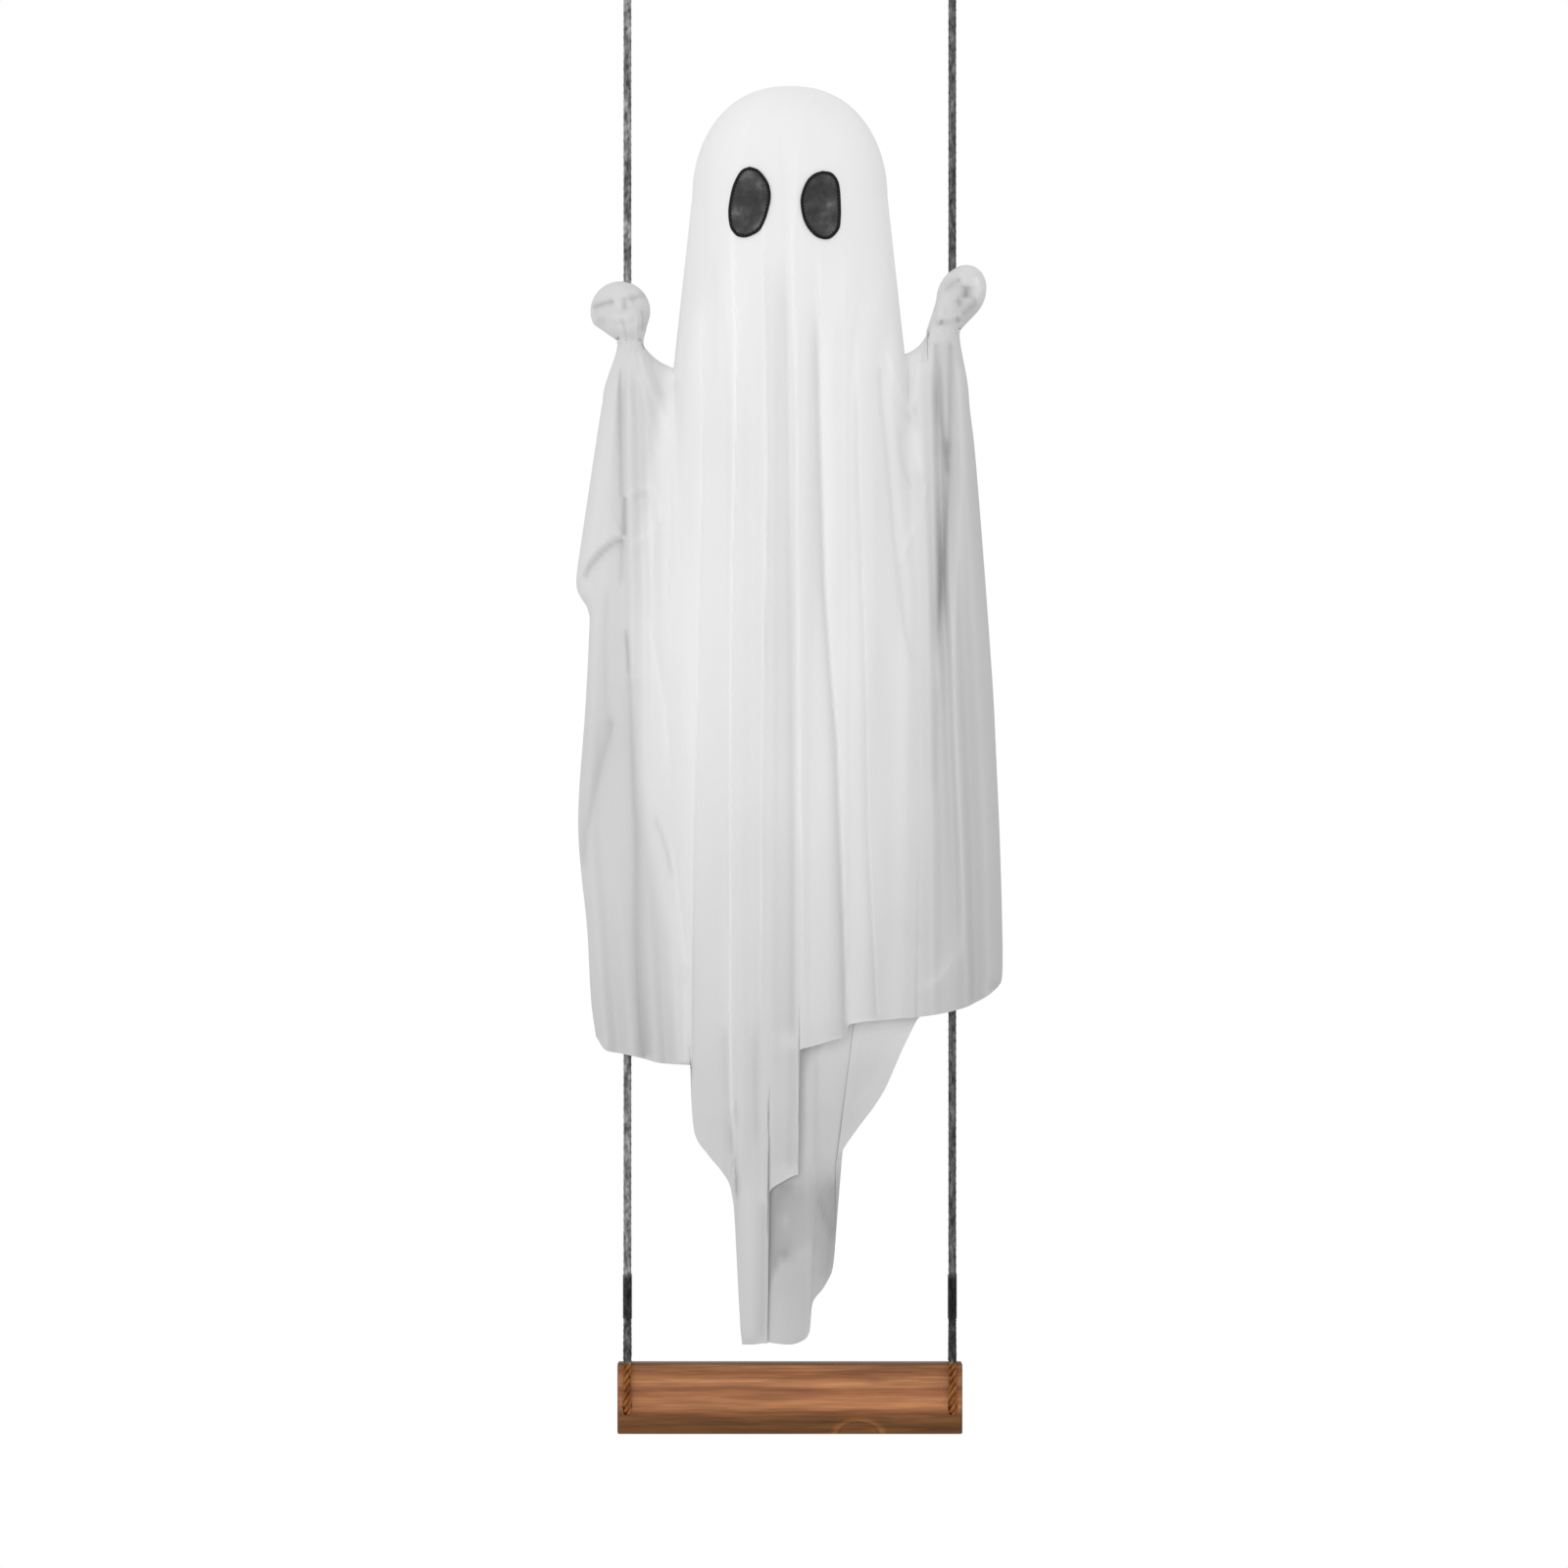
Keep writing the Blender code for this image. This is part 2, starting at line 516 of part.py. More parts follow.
def column_plan(folds, along, rows_top, rows_neck, levels, rows_hem):
    """(x, drop) down one column of the cloth, from the top edge to the hem."""
    values, crest = fold_values(folds, along)
    top = ridge_point(along)
    hem_drop = values[4]
    hand = None
    if along <= 1.0:
        hand, share = LEFT_HAND, along
    elif along >= 4.0:
        hand, share = RIGHT_HAND, 5.0 - along
    if hand:
        wx, wd = wrist_centre(hand)
        wrist_x = wx + hand["side"] * hand["wrist"] * (1 - 2 * share) * 0.97
        neck = np.array([wrist_x, max(wd - TIE_WIDTH, top[1] + 1.5 * MM)])
        pull = hand["gather"]
        bend_x = (1 - pull) * top[0] + pull * (wx + hand["side"] * 1 * MM)
        bend = np.array([bend_x, (1 - pull) * top[1] + pull * (wd - 10 * MM)])
    else:
        neck_drop = max(wrist_centre(LEFT_HAND)[1], top[1] + 5 * MM)
        t = (neck_drop - top[1]) / (SHOULDER_DROP - top[1])
        neck = np.array([top[0] + (values[0] - top[0]) * (1 - (1 - t) ** 2), neck_drop])
        bend = None
    plan = []
    for k in range(rows_top):
        v = 1 - math.cos(math.pi / 2 * k / rows_top)
        if bend is not None:
            v = (k / rows_top) ** 1.25
            plan.append((1 - v) ** 2 * top + 2 * v * (1 - v) * bend + v * v * neck)
            continue
        drop = top[1] + (neck[1] - top[1]) * v
        t = (drop - top[1]) / (SHOULDER_DROP - top[1])
        plan.append(np.array([top[0] + (values[0] - top[0]) * (1 - (1 - t) ** 2), drop]))
    if bend is not None:
        plan.append(neck)
        neck = np.array([wrist_x, wd])
    below = rows_neck - (bend is not None)
    for k in range(below):
        t = k / below
        drop = neck[1] + (SHOULDER_DROP - neck[1]) * t
        plan.append(np.array([neck[0] + (values[0] - neck[0]) * ease(t) ** 0.8, drop]))
    edge_rows = [fold_values(folds, 0.0)[0], fold_values(folds, 5.0)[0]]
    lower = [SHOULDER_DROP] + [d * MM for d in levels]
    last = lower[-1]
    lower += [last + (hem_drop - last) * k / rows_hem for k in range(1, rows_hem + 1)]
    for drop in lower:
        x = path_x(values, drop)
        x += edge_shift(x, drop, path_x(edge_rows[0], drop), path_x(edge_rows[1], drop))
        plan.append(np.array([x, drop]))
    return plan, crest, hem_drop


def rope_hole_columns(hand, low, high):
    """Top-edge positions whose x meets the rope's hole in the gathered cloth."""
    centre = hand["side"] * rope_x
    fine = np.linspace(low, high, 400)
    points = np.array([ridge_point(a) for a in fine])
    upper = points[:, 1] < hand["drop"]
    fine, xs = fine[upper], points[upper, 0]
    order = np.argsort(xs)
    offsets = [-1.0, -0.70, 0.0, 0.70, 1.0]
    found = [float(np.interp(centre + o * ROPE_HOLE, xs[order], fine[order])) for o in offsets]
    return sorted(found)


def cloth_columns(hand_steps, hole_left, hole_right):
    plain = [row[0] for row in FRONT_FOLDS]
    middles = []
    for a, b in zip(plain, plain[1:]):
        if 2.0 <= a < 3.0 and b - a > 0.045:
            middles.append((a + b) / 2)
        if 1.0 <= a < 2.0 or 3.0 <= a < 4.0:
            middles.append((a + b) / 2)
    hands = []
    for hole, base in ((hole_left, 0.0), (hole_right, 4.0)):
        for k in range(hand_steps + 1):
            along = base + k / hand_steps
            if hole[0] - 0.03 < along < hole[-1] + 0.03:
                continue
            hands.append(along)
        hands += hole
    body = [a for a in plain + middles if 1.0 < a < 4.0]
    for part, end, sign in ((1, 1.0, 1), (3, 4.0, -1)):
        length = np.hypot(*np.diff(RIDGE[part], axis=0).T).sum()
        body.append(end + sign * TIE_WIDTH / length)
    return sorted(set(round(a, 5) for a in hands + body))


def cloth_sheet(levels, rows_top=7, rows_neck=3, rows_hem=3, hand_steps=10):
    """The cloth as a bag of front and back columns, open at the hem."""
    hole_left = rope_hole_columns(LEFT_HAND, 0.0, 1.0)
    hole_right = rope_hole_columns(RIGHT_HAND, 4.0, 5.0)
    columns = cloth_columns(hand_steps, hole_left, hole_right)
    rim = [round(a, 5) for a in hole_left[1:-1] + hole_right[1:-1]]
    keep = [round(a, 5) for a in hole_left + hole_right]
    back = []
    for i, along in enumerate(columns):
        wanted = i % 2 == 0 or along in keep or 2.6 < along < 2.97
        if wanted or i == len(columns) - 1:
            back.append(i)
    points, front_ids, back_ids = [], [], {}

    def add(plan, crest, hem_drop, along, face, skip_first):
        ids = []
        for j, (x, drop) in enumerate(plan):
            if j == 0 and skip_first:
                continue
            depth = half_depth(x, drop, along)
            if j == 0 and along not in rim:
                depth = 0.0
            else:
                lift = crest_at(crest, drop, hem_drop, along)
                depth = max(depth + lift, min(depth, 5 * MM))
            if face > 0:
                depth *= 1 - BACK_FLATTENING * ease((drop - BACK_FLAT_START) / BACK_BLEND)
            ids.append(len(points))
            points.append((x, face * depth, -drop))
        return ids

    def hole_start(plan, along):
        """Move the first point of a column down to the rim of the rope's hole."""
        x = plan[0][0]
        hand = LEFT_HAND if along < 1.0 else RIGHT_HAND
        off = min(abs(x - hand["side"] * rope_x), ROPE_HOLE)
        need = math.sqrt(ROPE_HOLE ** 2 - off ** 2)
        low, high = plan[0][1], hand["drop"]
        for _ in range(30):
            middle = (low + high) / 2
            if arm_depth(x, middle) < need:
                low = middle
            else:
                high = middle
        neck = plan[rows_top]
        start = np.array([x, high])
        bend = plan[rows_top // 2]
        for k in range(rows_top):
            v = (k / rows_top) ** 1.25
            plan[k] = (1 - v) ** 2 * start + 2 * v * (1 - v) * bend + v * v * neck
        return plan

    for i, along in enumerate(columns):
        ends = i in (0, len(columns) - 1)
        for folds, face in ((FRONT_FOLDS, -1), (BACK_FOLDS, 1)):
            if face > 0 and (i not in back or ends):
                continue
            plan, crest, hem_drop = column_plan(folds, along, rows_top, rows_neck, levels, rows_hem)
            if along in rim:
                plan = hole_start(plan, along)
            if face < 0:
                ids = add(plan, crest, hem_drop, along, -1, False)
                if ends:
                    for n in ids:
                        points[n] = (points[n][0], 0.0, points[n][2])
                    back_ids[i] = ids
                front_ids.append(ids)
            else:
                own = along in rim
                ids = add(plan, crest, hem_drop, along, 1, not own)
                back_ids[i] = ids if own else [front_ids[i][0]] + ids
    faces = []
    rows = len(front_ids[0]) - 1
    for a, b in zip(front_ids, front_ids[1:]):
        for j in range(rows):
            faces.append((a[j], a[j + 1], b[j + 1], b[j]))
    for a, b in zip(back, back[1:]):
        left, right = back_ids[a], back_ids[b]
        for j in range(1, rows):
            faces.append((left[j], right[j], right[j + 1], left[j + 1]))
        tops = [left[0]] + [front_ids[i][0] for i in range(a + 1, b)] + [right[0]]
        half = len(tops) // 2
        for k in range(len(tops) - 1):
            if k < half - 1 or len(tops) == 3 and k == 0:
                faces.append((tops[k], tops[k + 1], left[1]))
            elif k == half - 1 or len(tops) == 3 and k == 1:
                faces.append((tops[k], tops[k + 1], right[1], left[1]) if len(tops) != 3
                             else (tops[k], tops[k + 1], right[1]))
            else:
                faces.append((tops[k], tops[k + 1], right[1]))
        if len(tops) == 3:
            faces.append((tops[1], right[1], left[1]))
    return points, faces


def make_cloth(finish):
    points, faces = cloth_sheet(CLOTH_LEVELS)
    cloth = place("ghost_cloth", mesh_from("ghost_cloth", points, faces), finish)
    wall = cloth.modifiers.new("cloth thickness", 'SOLIDIFY')
    wall.thickness = CLOTH_THICKNESS
    wall.offset = -1.0
    wall.use_even_offset = False
    return cloth


# Other pieces

def make_eye_patch(name, outline, finish):
    """Felt patch that follows the curve of the head."""
    points = [Vector((x * MM, d * MM, 0)) for x, d in outline]
    loop = smooth_curve(points + [points[0]], 6 * MM)[:-1]
    middle = sum(loop, Vector()) / len(loop)
    rings = [1.0, 0.97, 0.68, 0.34]
    count = len(loop)
    verts, faces = [], []
    for layer in (PATCH_SEAT, PATCH_SEAT + PATCH_THICKNESS):
        for ring in rings:
            for p in loop:
                x, drop = middle.lerp(p, ring).xy
                verts.append((x, -half_depth(x, drop, 2.5) - layer, -drop))
        verts.append((middle.x, -half_depth(middle.x, middle.y, 2.5) - layer, -middle.y))
    size = count * len(rings) + 1
    for base in (0, size):
        for r in range(len(rings) - 1):
            for k in range(count):
                m = (k + 1) % count
                faces.append((base + r * count + k, base + r * count + m,
                              base + (r + 1) * count + m, base + (r + 1) * count + k))
        inner = base + (len(rings) - 1) * count
        for k in range(count):
            faces.append((inner + k, inner + (k + 1) % count, base + size - 1))
    for k in range(count):
        m = (k + 1) % count
        faces.append((k, m, size + m, size + k))
    return place(name, mesh_from(name, verts, faces), finish)


def make_head_form(finish):
    """Foam dome that carries the cloth, cut flat underneath and bored for the post."""
    inset = CLOTH_THICKNESS + CLOTH_SLACK + FORM_SLACK
    shrink = 1 - inset / HEAD_HALF_WIDTH
    centre_drop = CROWN_DROP + DOME_HEIGHT
    lift = FORM_SLACK
    rings, sides = 12, 28
    top = CROWN_DROP
    verts, faces = [], []
    low = centre_drop + (FORM_BASE_DROP - centre_drop) / shrink
    drops = [top + (low - top) * (1 - math.cos(math.pi / 2 * k / rings))
             for k in range(1, rings + 1)]
    for drop in drops:
        half = head_half_width(drop, FORM_SQUARENESS) * shrink
        z = -(centre_drop + (drop - centre_drop) * shrink) + lift
        for k in range(sides):
            angle = 2 * math.pi * k / sides
            verts.append((half * math.cos(angle), HEAD_DEPTH_RATIO * half * math.sin(angle), z))
    verts.append((0, 0, -(centre_drop + (top - centre_drop) * shrink) + lift))
    crown = len(verts) - 1
    for k in range(sides):
        m = (k + 1) % sides
        faces.append((crown, k, m))
        for r in range(len(drops) - 1):
            faces.append((r * sides + k, (r + 1) * sides + k, (r + 1) * sides + m, r * sides + m))
    faces.append(tuple((len(drops) - 1) * sides + k for k in range(sides)))
    form = place("head_form", mesh_from("head_form", verts, faces), finish)
    bore_top = -(FORM_BASE_DROP - POST_IN_HEAD - GAP)
    bore_low = -(FORM_BASE_DROP + 10 * MM)
    cut(form, rod("post bore", (0, 0, bore_low), (0, 0, bore_top), POST_DIAMETER / 2 + GAP, finish))
    return form


def rod(name, start, end, radius, finish, sides=24):
    start, end = Vector(start), Vector(end)
    solid = bmesh.new()
    bmesh.ops.create_cone(solid, cap_ends=True, segments=sides, radius1=radius, radius2=radius,
                          depth=(end - start).length)
    turn = (end - start).to_track_quat('Z', 'Y').to_matrix().to_4x4()
    bmesh.ops.transform(solid, matrix=Matrix.Translation((start + end) / 2) @ turn, verts=solid.verts)
    made = bpy.data.meshes.new(name)
    solid.to_mesh(made)
    solid.free()
    return place(name, made, finish)


def wire_route():
    """Arm wire, from inside one hand to inside the other, through the neck post."""
    route = []
    for hand in (LEFT_HAND, RIGHT_HAND):
        side = hand["side"]
        wx, wd = wrist_centre(hand)
        cx, cd = hand_centre(hand)
        run = [((wx + cx) / 2, WIRE_IN_HAND, -(cd + 3 * MM)),
               (0.8 * wx + 0.2 * cx, 0.5 * (WIRE_IN_HAND + WIRE_BEHIND), -(wd - 10 * MM)),
               (wx, WIRE_BEHIND, -wd),
               (wx - side * 5 * MM, 0.6 * WIRE_BEHIND, -(wd + 12 * MM)),
               (side * (WIRE_FLAT + 20 * MM), 2 * MM, -(WIRE_DROP - 4 * MM)),
               (side * WIRE_FLAT, 0, -WIRE_DROP),
               (side * 0.43 * WIRE_FLAT, 0, -WIRE_DROP)]
        route += run if side < 0 else run[::-1]
    return smooth_curve(route, 2.4 * WIRE_DIAMETER)


def make_frame(wire_finish, post_finish):
    """Neck post under the head with the arm wire through it; returns the wire's route."""
    route = wire_route()
    tube("arm_wire", route, WIRE_DIAMETER / 2, wire_finish)
    post_low = -(WIRE_DROP + 10 * MM)
    post = rod("neck_post", (0, 0, post_low), (0, 0, -(FORM_BASE_DROP - POST_IN_HEAD)),
               POST_DIAMETER / 2, post_finish)
    reach = POST_DIAMETER
    cut(post, rod("wire hole", (-reach, 0, -WIRE_DROP), (reach, 0, -WIRE_DROP),
                  WIRE_DIAMETER / 2 + GAP, post_finish, sides=16))
    return route


def make_hand(name, hand, route, finish):
    solid = bmesh.new()
    bmesh.ops.create_uvsphere(solid, u_segments=20, v_segments=12, radius=1.0)
    cx, cd = hand_centre(hand)
    size = [hand["across"] - HAND_CLEARANCE, hand["deep"] - HAND_CLEARANCE,
            hand["along"] - HAND_CLEARANCE - HAND_RISE]
    turn = Matrix.Rotation(math.radians(hand["side"] * hand["tilt"]), 4, 'Y')
    shape = Matrix.Translation((cx, 0, -cd + HAND_RISE)) @ turn @ Matrix.Diagonal((*size, 1))
    bmesh.ops.transform(solid, matrix=shape, verts=solid.verts)
    made = bpy.data.meshes.new(name)
    solid.to_mesh(made)
    solid.free()
    ball = place(name, made, finish)
    x = hand["side"] * rope_x
    reach = 2 * hand["along"]
    cut(ball, rod(name + " rope bore", (x, 0, -cd - reach), (x, 0, -cd + reach),
                  rope_r + GAP, finish, sides=16))
    wrist_drop = wrist_centre(hand)[1]
    near = [p for p in route if p.x * hand["side"] > 0 and -p.z < wrist_drop + 2 * MM]
    near = near if hand["side"] > 0 else near[::-1]
    start = near[-1] + (near[-1] - near[-2]).normalized() * GAP
    cut(ball, bore_along(name + " wire bore", near + [start], WIRE_DIAMETER / 2 + GAP, finish))
    return ball


def make_tie(name, hand, finish):
    """Thread wound round the gathered wrist, over the cloth."""
    wx, wd = wrist_centre(hand)
    inner = hand["wrist"] + TIE_SLACK
    outer = inner + TIE_THICKNESS
    half = TIE_HEIGHT / 2
    turns = 3
    profile = [(inner, -half)]
    for k in range(turns):
        low = -half + TIE_HEIGHT * k / turns
        pitch = TIE_HEIGHT / turns
        profile += [(outer - 0.3 * MM, low + 0.1 * pitch), (outer, low + 0.5 * pitch),
                    (outer - 0.3 * MM, low + 0.9 * pitch)]
    profile += [(inner, half)]
    return turned(name, profile, (wx, 0, -(wd - TIE_WIDTH + TIE_HEIGHT / 2 + GAP / 2)), finish,
                  sides=24)


def rope_route(x):
    """Down from the knot, round through the seat bar and back up to the whipping."""
    turn_r = SEAT_THICKNESS / 2 + rope_r + GAP
    turn_drop = seat_bottom - SEAT_FLOOR - rope_r - turn_r
    pair = rope_r + GAP
    bind_low = SEAT_DROP - WHIPPING_RISE
    bind_top = bind_low - WHIPPING_LENGTH
    start = EYE_LENGTH + KNOT_LENGTH + GAP
    points = [(0, start), (0, 0.5 * start + 0.5 * bind_top), (0, bind_top - 60 * MM),
              (0, bind_top - 30 * MM), (-0.5 * pair, bind_top - 16 * MM),
              (-pair, bind_top - 2 * MM), (-pair, bind_top + 12 * MM), (-pair, bind_low - 10 * MM),
              (-pair, bind_low + 3 * MM),
              (-0.5 * (pair + turn_r), 0.5 * (bind_low + SEAT_DROP - ROPE_STRAIGHT)),
              (-turn_r, SEAT_DROP - ROPE_STRAIGHT), (-turn_r, SEAT_DROP + 3 * MM)]
    points += [(-turn_r * math.cos(math.pi * k / 6), turn_drop + turn_r * math.sin(math.pi * k / 6))
               for k in range(7)]
    points += [(turn_r, SEAT_DROP + 3 * MM), (turn_r, SEAT_DROP - ROPE_STRAIGHT),
               (0.5 * (pair + turn_r), 0.5 * (bind_low + SEAT_DROP - ROPE_STRAIGHT)),
               (pair, bind_low + 3 * MM), (pair, bind_low - 10 * MM), (pair, bind_top + 2 * MM)]
    return smooth_curve([(x, y, -drop) for y, drop in points], 2.0 * ROPE_DIAMETER)


def make_rope(side, finish):
    """One rope with its knot, hanging loop and whipping; returns the rope's route."""
    label = "left" if side < 0 else "right"
    x = side * rope_x
    route = rope_route(x)
    tube("rope_" + label, route, rope_r, finish, resolution=2)
    knot_top, knot_low = -EYE_LENGTH, -(EYE_LENGTH + KNOT_LENGTH)
    core, swell = 0.36 * KNOT_DIAMETER, 0.5 * KNOT_DIAMETER
    turns = 3
    pitch = KNOT_LENGTH / turns
    outer = [(core, 0.0)]
    for k in range(turns):
        for t, r in ((0.15, 0.82), (0.5, 1.0), (0.85, 0.82)):
            outer.append((swell * r, -(k + t) * pitch))
    outer += [(core, -KNOT_LENGTH)]
    sides = 16
    verts, faces = [], []
    for radius, z in outer:
        for k in range(sides):
            angle = 2 * math.pi * k / sides
            verts.append((x + radius * math.cos(angle), radius * math.sin(angle), knot_top + z))
    for r in range(len(outer) - 1):
        for k in range(sides):
            m = (k + 1) % sides
            faces.append((r * sides + k, (r + 1) * sides + k, (r + 1) * sides + m, r * sides + m))
    faces.append(tuple(range(sides)))
    faces.append(tuple((len(outer) - 1) * sides + k for k in range(sides)))
    place("top_knot_" + label, mesh_from("top_knot_" + label, verts, faces), finish)
    foot = 0.5 * rope_r + 1.7 * MM
    loop_half = EYE_WIDTH / 2 - rope_r
    low = knot_top + 2.5 * GAP
    crown = -rope_r
    eye = [(x - foot, 0, low), (x - foot, 0, low + 3 * MM), (x - foot, 0, low + 6 * MM),
           (x - 0.75 * loop_half, 0, low + 0.36 * EYE_LENGTH)]
    eye += [(x - loop_half * math.cos(math.pi * k / 6), 0,
             crown - loop_half + loop_half * math.sin(math.pi * k / 6)) for k in range(7)]
    eye += [(2 * x - p[0], 0, p[2]) for p in reversed(eye[:4])]
    tube("hanging_eye_" + label, smooth_curve(eye, 1.6 * ROPE_DIAMETER), rope_r, finish)
    bind_low = SEAT_DROP - WHIPPING_RISE
    turns = 8
    pitch = WHIPPING_LENGTH / turns
    bore = 2 * rope_r + 4 * GAP
    skin = bore + WHIPPING_WALL
    profile = [(bore, 0.0), (skin - 0.25 * MM, 0.0)]
    for k in range(turns):
        profile += [(skin + 0.1 * MM, (k + 0.5) * pitch), (skin - 0.25 * MM, (k + 1) * pitch)]
    profile += [(bore, WHIPPING_LENGTH)]
    binding = turned("seat_whipping_" + label, profile, (0, 0, 0), finish, sides=20)
    narrow = (rope_r + 3 * GAP + WHIPPING_WALL) / skin
    for v in binding.data.vertices:
        v.co.x = v.co.x * narrow + x
        v.co.z -= bind_low
    return route


def make_seat(routes, finish):
    solid = bmesh.new()
    bmesh.ops.create_cube(solid, size=1.0)
    size = Matrix.Diagonal((ROPE_SPACING + 2 * SEAT_OVERHANG, SEAT_THICKNESS, SEAT_HEIGHT, 1))
    middle = Matrix.Translation((0, 0, -(SEAT_DROP + SEAT_HEIGHT / 2)))
    bmesh.ops.transform(solid, matrix=middle @ size, verts=solid.verts)
    bmesh.ops.bevel(solid, geom=solid.edges[:], offset=SEAT_EDGE, segments=2, affect='EDGES',
                    profile=0.5)
    made = bpy.data.meshes.new("seat_board")
    solid.to_mesh(made)
    solid.free()
    seat = place("seat_board", made, finish)
    for n, route in enumerate(routes):
        low = [p for p in route if -p.z > SEAT_DROP - 8 * MM]
        cut(seat, bore_along("rope hole %d" % n, low, rope_r + GAP, finish))
    return seat


def build():
    clear_scene()
    white_cloth = material("white cloth", (0.84, 0.84, 0.84), 0.9)
    felt = material("charcoal felt", (0.06, 0.06, 0.065), 0.95)
    foam = material("white foam", (0.80, 0.80, 0.78), 0.8)
    steel = material("bright wire", (0.55, 0.55, 0.56), 0.35, 1.0)
    dowel = material("pale dowel", (0.55, 0.38, 0.22), 0.6)
    cord = material("charcoal rope", (0.06, 0.06, 0.06), 0.9)
    thread = material("white thread", (0.78, 0.78, 0.76), 0.85)
    timber = material("brown timber", (0.28, 0.12, 0.045), 0.6)
    make_cloth(white_cloth)
    make_eye_patch("eye_patch_left", LEFT_EYE, felt)
    make_eye_patch("eye_patch_right", RIGHT_EYE, felt)
    make_head_form(foam)
    route = make_frame(steel, dowel)
    make_hand("hand_form_left", LEFT_HAND, route, foam)
    make_hand("hand_form_right", RIGHT_HAND, route, foam)
    make_tie("wrist_tie_left", LEFT_HAND, thread)
    make_tie("wrist_tie_right", RIGHT_HAND, thread)
    ropes = [make_rope(side, cord) for side in (-1, 1)]
    make_seat(ropes, timber)


build()
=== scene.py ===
# %% [markdown]
# # A fabric ghost on a swing
#
# A white cloth hangs over a foam head and two wire arms, between the ropes of a small wooden
# swing. Each cell below makes one part of the picture and prints what it made.
#
# The first cell loads the measured model. Its origin lies midway between the tops of the two
# hanging loops, +Z points up and the front faces -Y. Everything is in metres.

# %% Load the model
import math
import bpy
import numpy as np
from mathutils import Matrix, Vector


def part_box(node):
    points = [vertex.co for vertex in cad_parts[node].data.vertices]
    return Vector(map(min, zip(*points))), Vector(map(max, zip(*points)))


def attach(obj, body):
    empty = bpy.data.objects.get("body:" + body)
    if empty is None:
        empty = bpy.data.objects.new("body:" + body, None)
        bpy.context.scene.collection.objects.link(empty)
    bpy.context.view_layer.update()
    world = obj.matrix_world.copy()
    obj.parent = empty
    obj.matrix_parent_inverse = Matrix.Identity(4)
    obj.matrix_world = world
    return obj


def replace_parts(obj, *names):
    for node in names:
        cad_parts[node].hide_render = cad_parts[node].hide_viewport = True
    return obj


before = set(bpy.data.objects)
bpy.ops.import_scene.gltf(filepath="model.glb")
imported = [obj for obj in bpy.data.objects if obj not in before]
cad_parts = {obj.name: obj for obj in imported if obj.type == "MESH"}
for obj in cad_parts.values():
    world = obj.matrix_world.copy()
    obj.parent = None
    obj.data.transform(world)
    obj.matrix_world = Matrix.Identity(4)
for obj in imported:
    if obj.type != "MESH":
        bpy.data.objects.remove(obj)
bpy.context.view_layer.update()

MM = 0.001
GAP = 0.3 * MM                      # between two stretches of rope that lie side by side
seat_low, seat_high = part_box("seat_board")
knot_low, knot_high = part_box("top_knot_right")
SEAT_DROP = -seat_high.z
SEAT_THICKNESS = seat_high.y - seat_low.y
ROPE_X = (knot_low.x + knot_high.x) / 2
ROPE_R = 3.0 * MM
print("rope spacing", round(2 * ROPE_X, 4), "seat top", round(-SEAT_DROP, 4))

# %% [markdown]
# ## The camera
#
# The photograph looks straight at the front from far away. A short lens would bend the ropes
# and show the sides of the head, so a long lens at 8 metres was chosen: it gives the same flat
# view. The picture is 1600 pixels wide and 0.7 mm of the object fits in one pixel.

# %% Make the camera
PIXEL = 0.70 * MM
PHOTO_SIZE = 1600
PHOTO_CENTRE = 800                  # the row and the column that the camera looks at
PHOTO_MIDDLE_X = 806                # the column of the object's middle
PHOTO_ZERO_Y = -140                 # the row of the origin, above the picture
CAMERA_DISTANCE = 8.0
SENSOR = 36.0
camera_data = bpy.data.cameras.new("camera")
camera = bpy.data.objects.new("camera", camera_data)
bpy.context.collection.objects.link(camera)
camera_data.sensor_width = SENSOR
camera_data.lens = SENSOR * CAMERA_DISTANCE / (PHOTO_SIZE * PIXEL)
camera_data.clip_end = 60.0
camera.location = ((PHOTO_CENTRE - PHOTO_MIDDLE_X) * PIXEL, -CAMERA_DISTANCE,
                   -(PHOTO_CENTRE - PHOTO_ZERO_Y) * PIXEL)
camera.rotation_euler = (math.pi / 2, 0, 0)
bpy.context.scene.camera = camera
print("lens", round(camera_data.lens, 1), "mm")

# %% [markdown]
# ## Helpers
#
# `photo` turns a photo pixel into x and drop, the distance below the origin, and `pixels` turns
# them back. `ease` is a soft step from 0 to 1. `smooth_curve` draws an even curve through a few
# points. `ring_faces` joins rings of points into a tube. `place` links a mesh.

# %% Define the helpers
def photo(px, py):
    return np.array([(px - PHOTO_MIDDLE_X) * PIXEL, (py - PHOTO_ZERO_Y) * PIXEL])


def pixels(x, drop):
    return x / PIXEL + PHOTO_MIDDLE_X, drop / PIXEL + PHOTO_ZERO_Y


def ease(t):
    t = np.clip(t, 0, 1)
    return t * t * (3 - 2 * t)


def smooth_curve(points, spacing):
    """Evenly spaced points on a Catmull-Rom curve through the given ones."""
    pts = [Vector(p) for p in points]
    ends = [pts[0] * 2 - pts[1]] + pts + [pts[-1] * 2 - pts[-2]]
    fine, parts = [], 24
    for i in range(1, len(ends) - 2):
        a, b, c, d = ends[i - 1:i + 3]
        for k in range(parts):
            t = k / parts
            fine.append(0.5 * (2 * b + (c - a) * t + (2 * a - 5 * b + 4 * c - d) * t * t
                               + (3 * b - a - 3 * c + d) * t ** 3))
    fine.append(pts[-1])
    steps = [0.0]
    for p, q in zip(fine, fine[1:]):
        steps.append(steps[-1] + (q - p).length)
    wanted = np.linspace(0, steps[-1], max(2, round(steps[-1] / spacing)) + 1)
    cols = [np.interp(wanted, steps, [p[k] for p in fine]) for k in range(3)]
    return [Vector(p) for p in zip(*cols)]


def direction(route, i):
    return (route[min(i + 1, len(route) - 1)] - route[max(i - 1, 0)]).normalized()


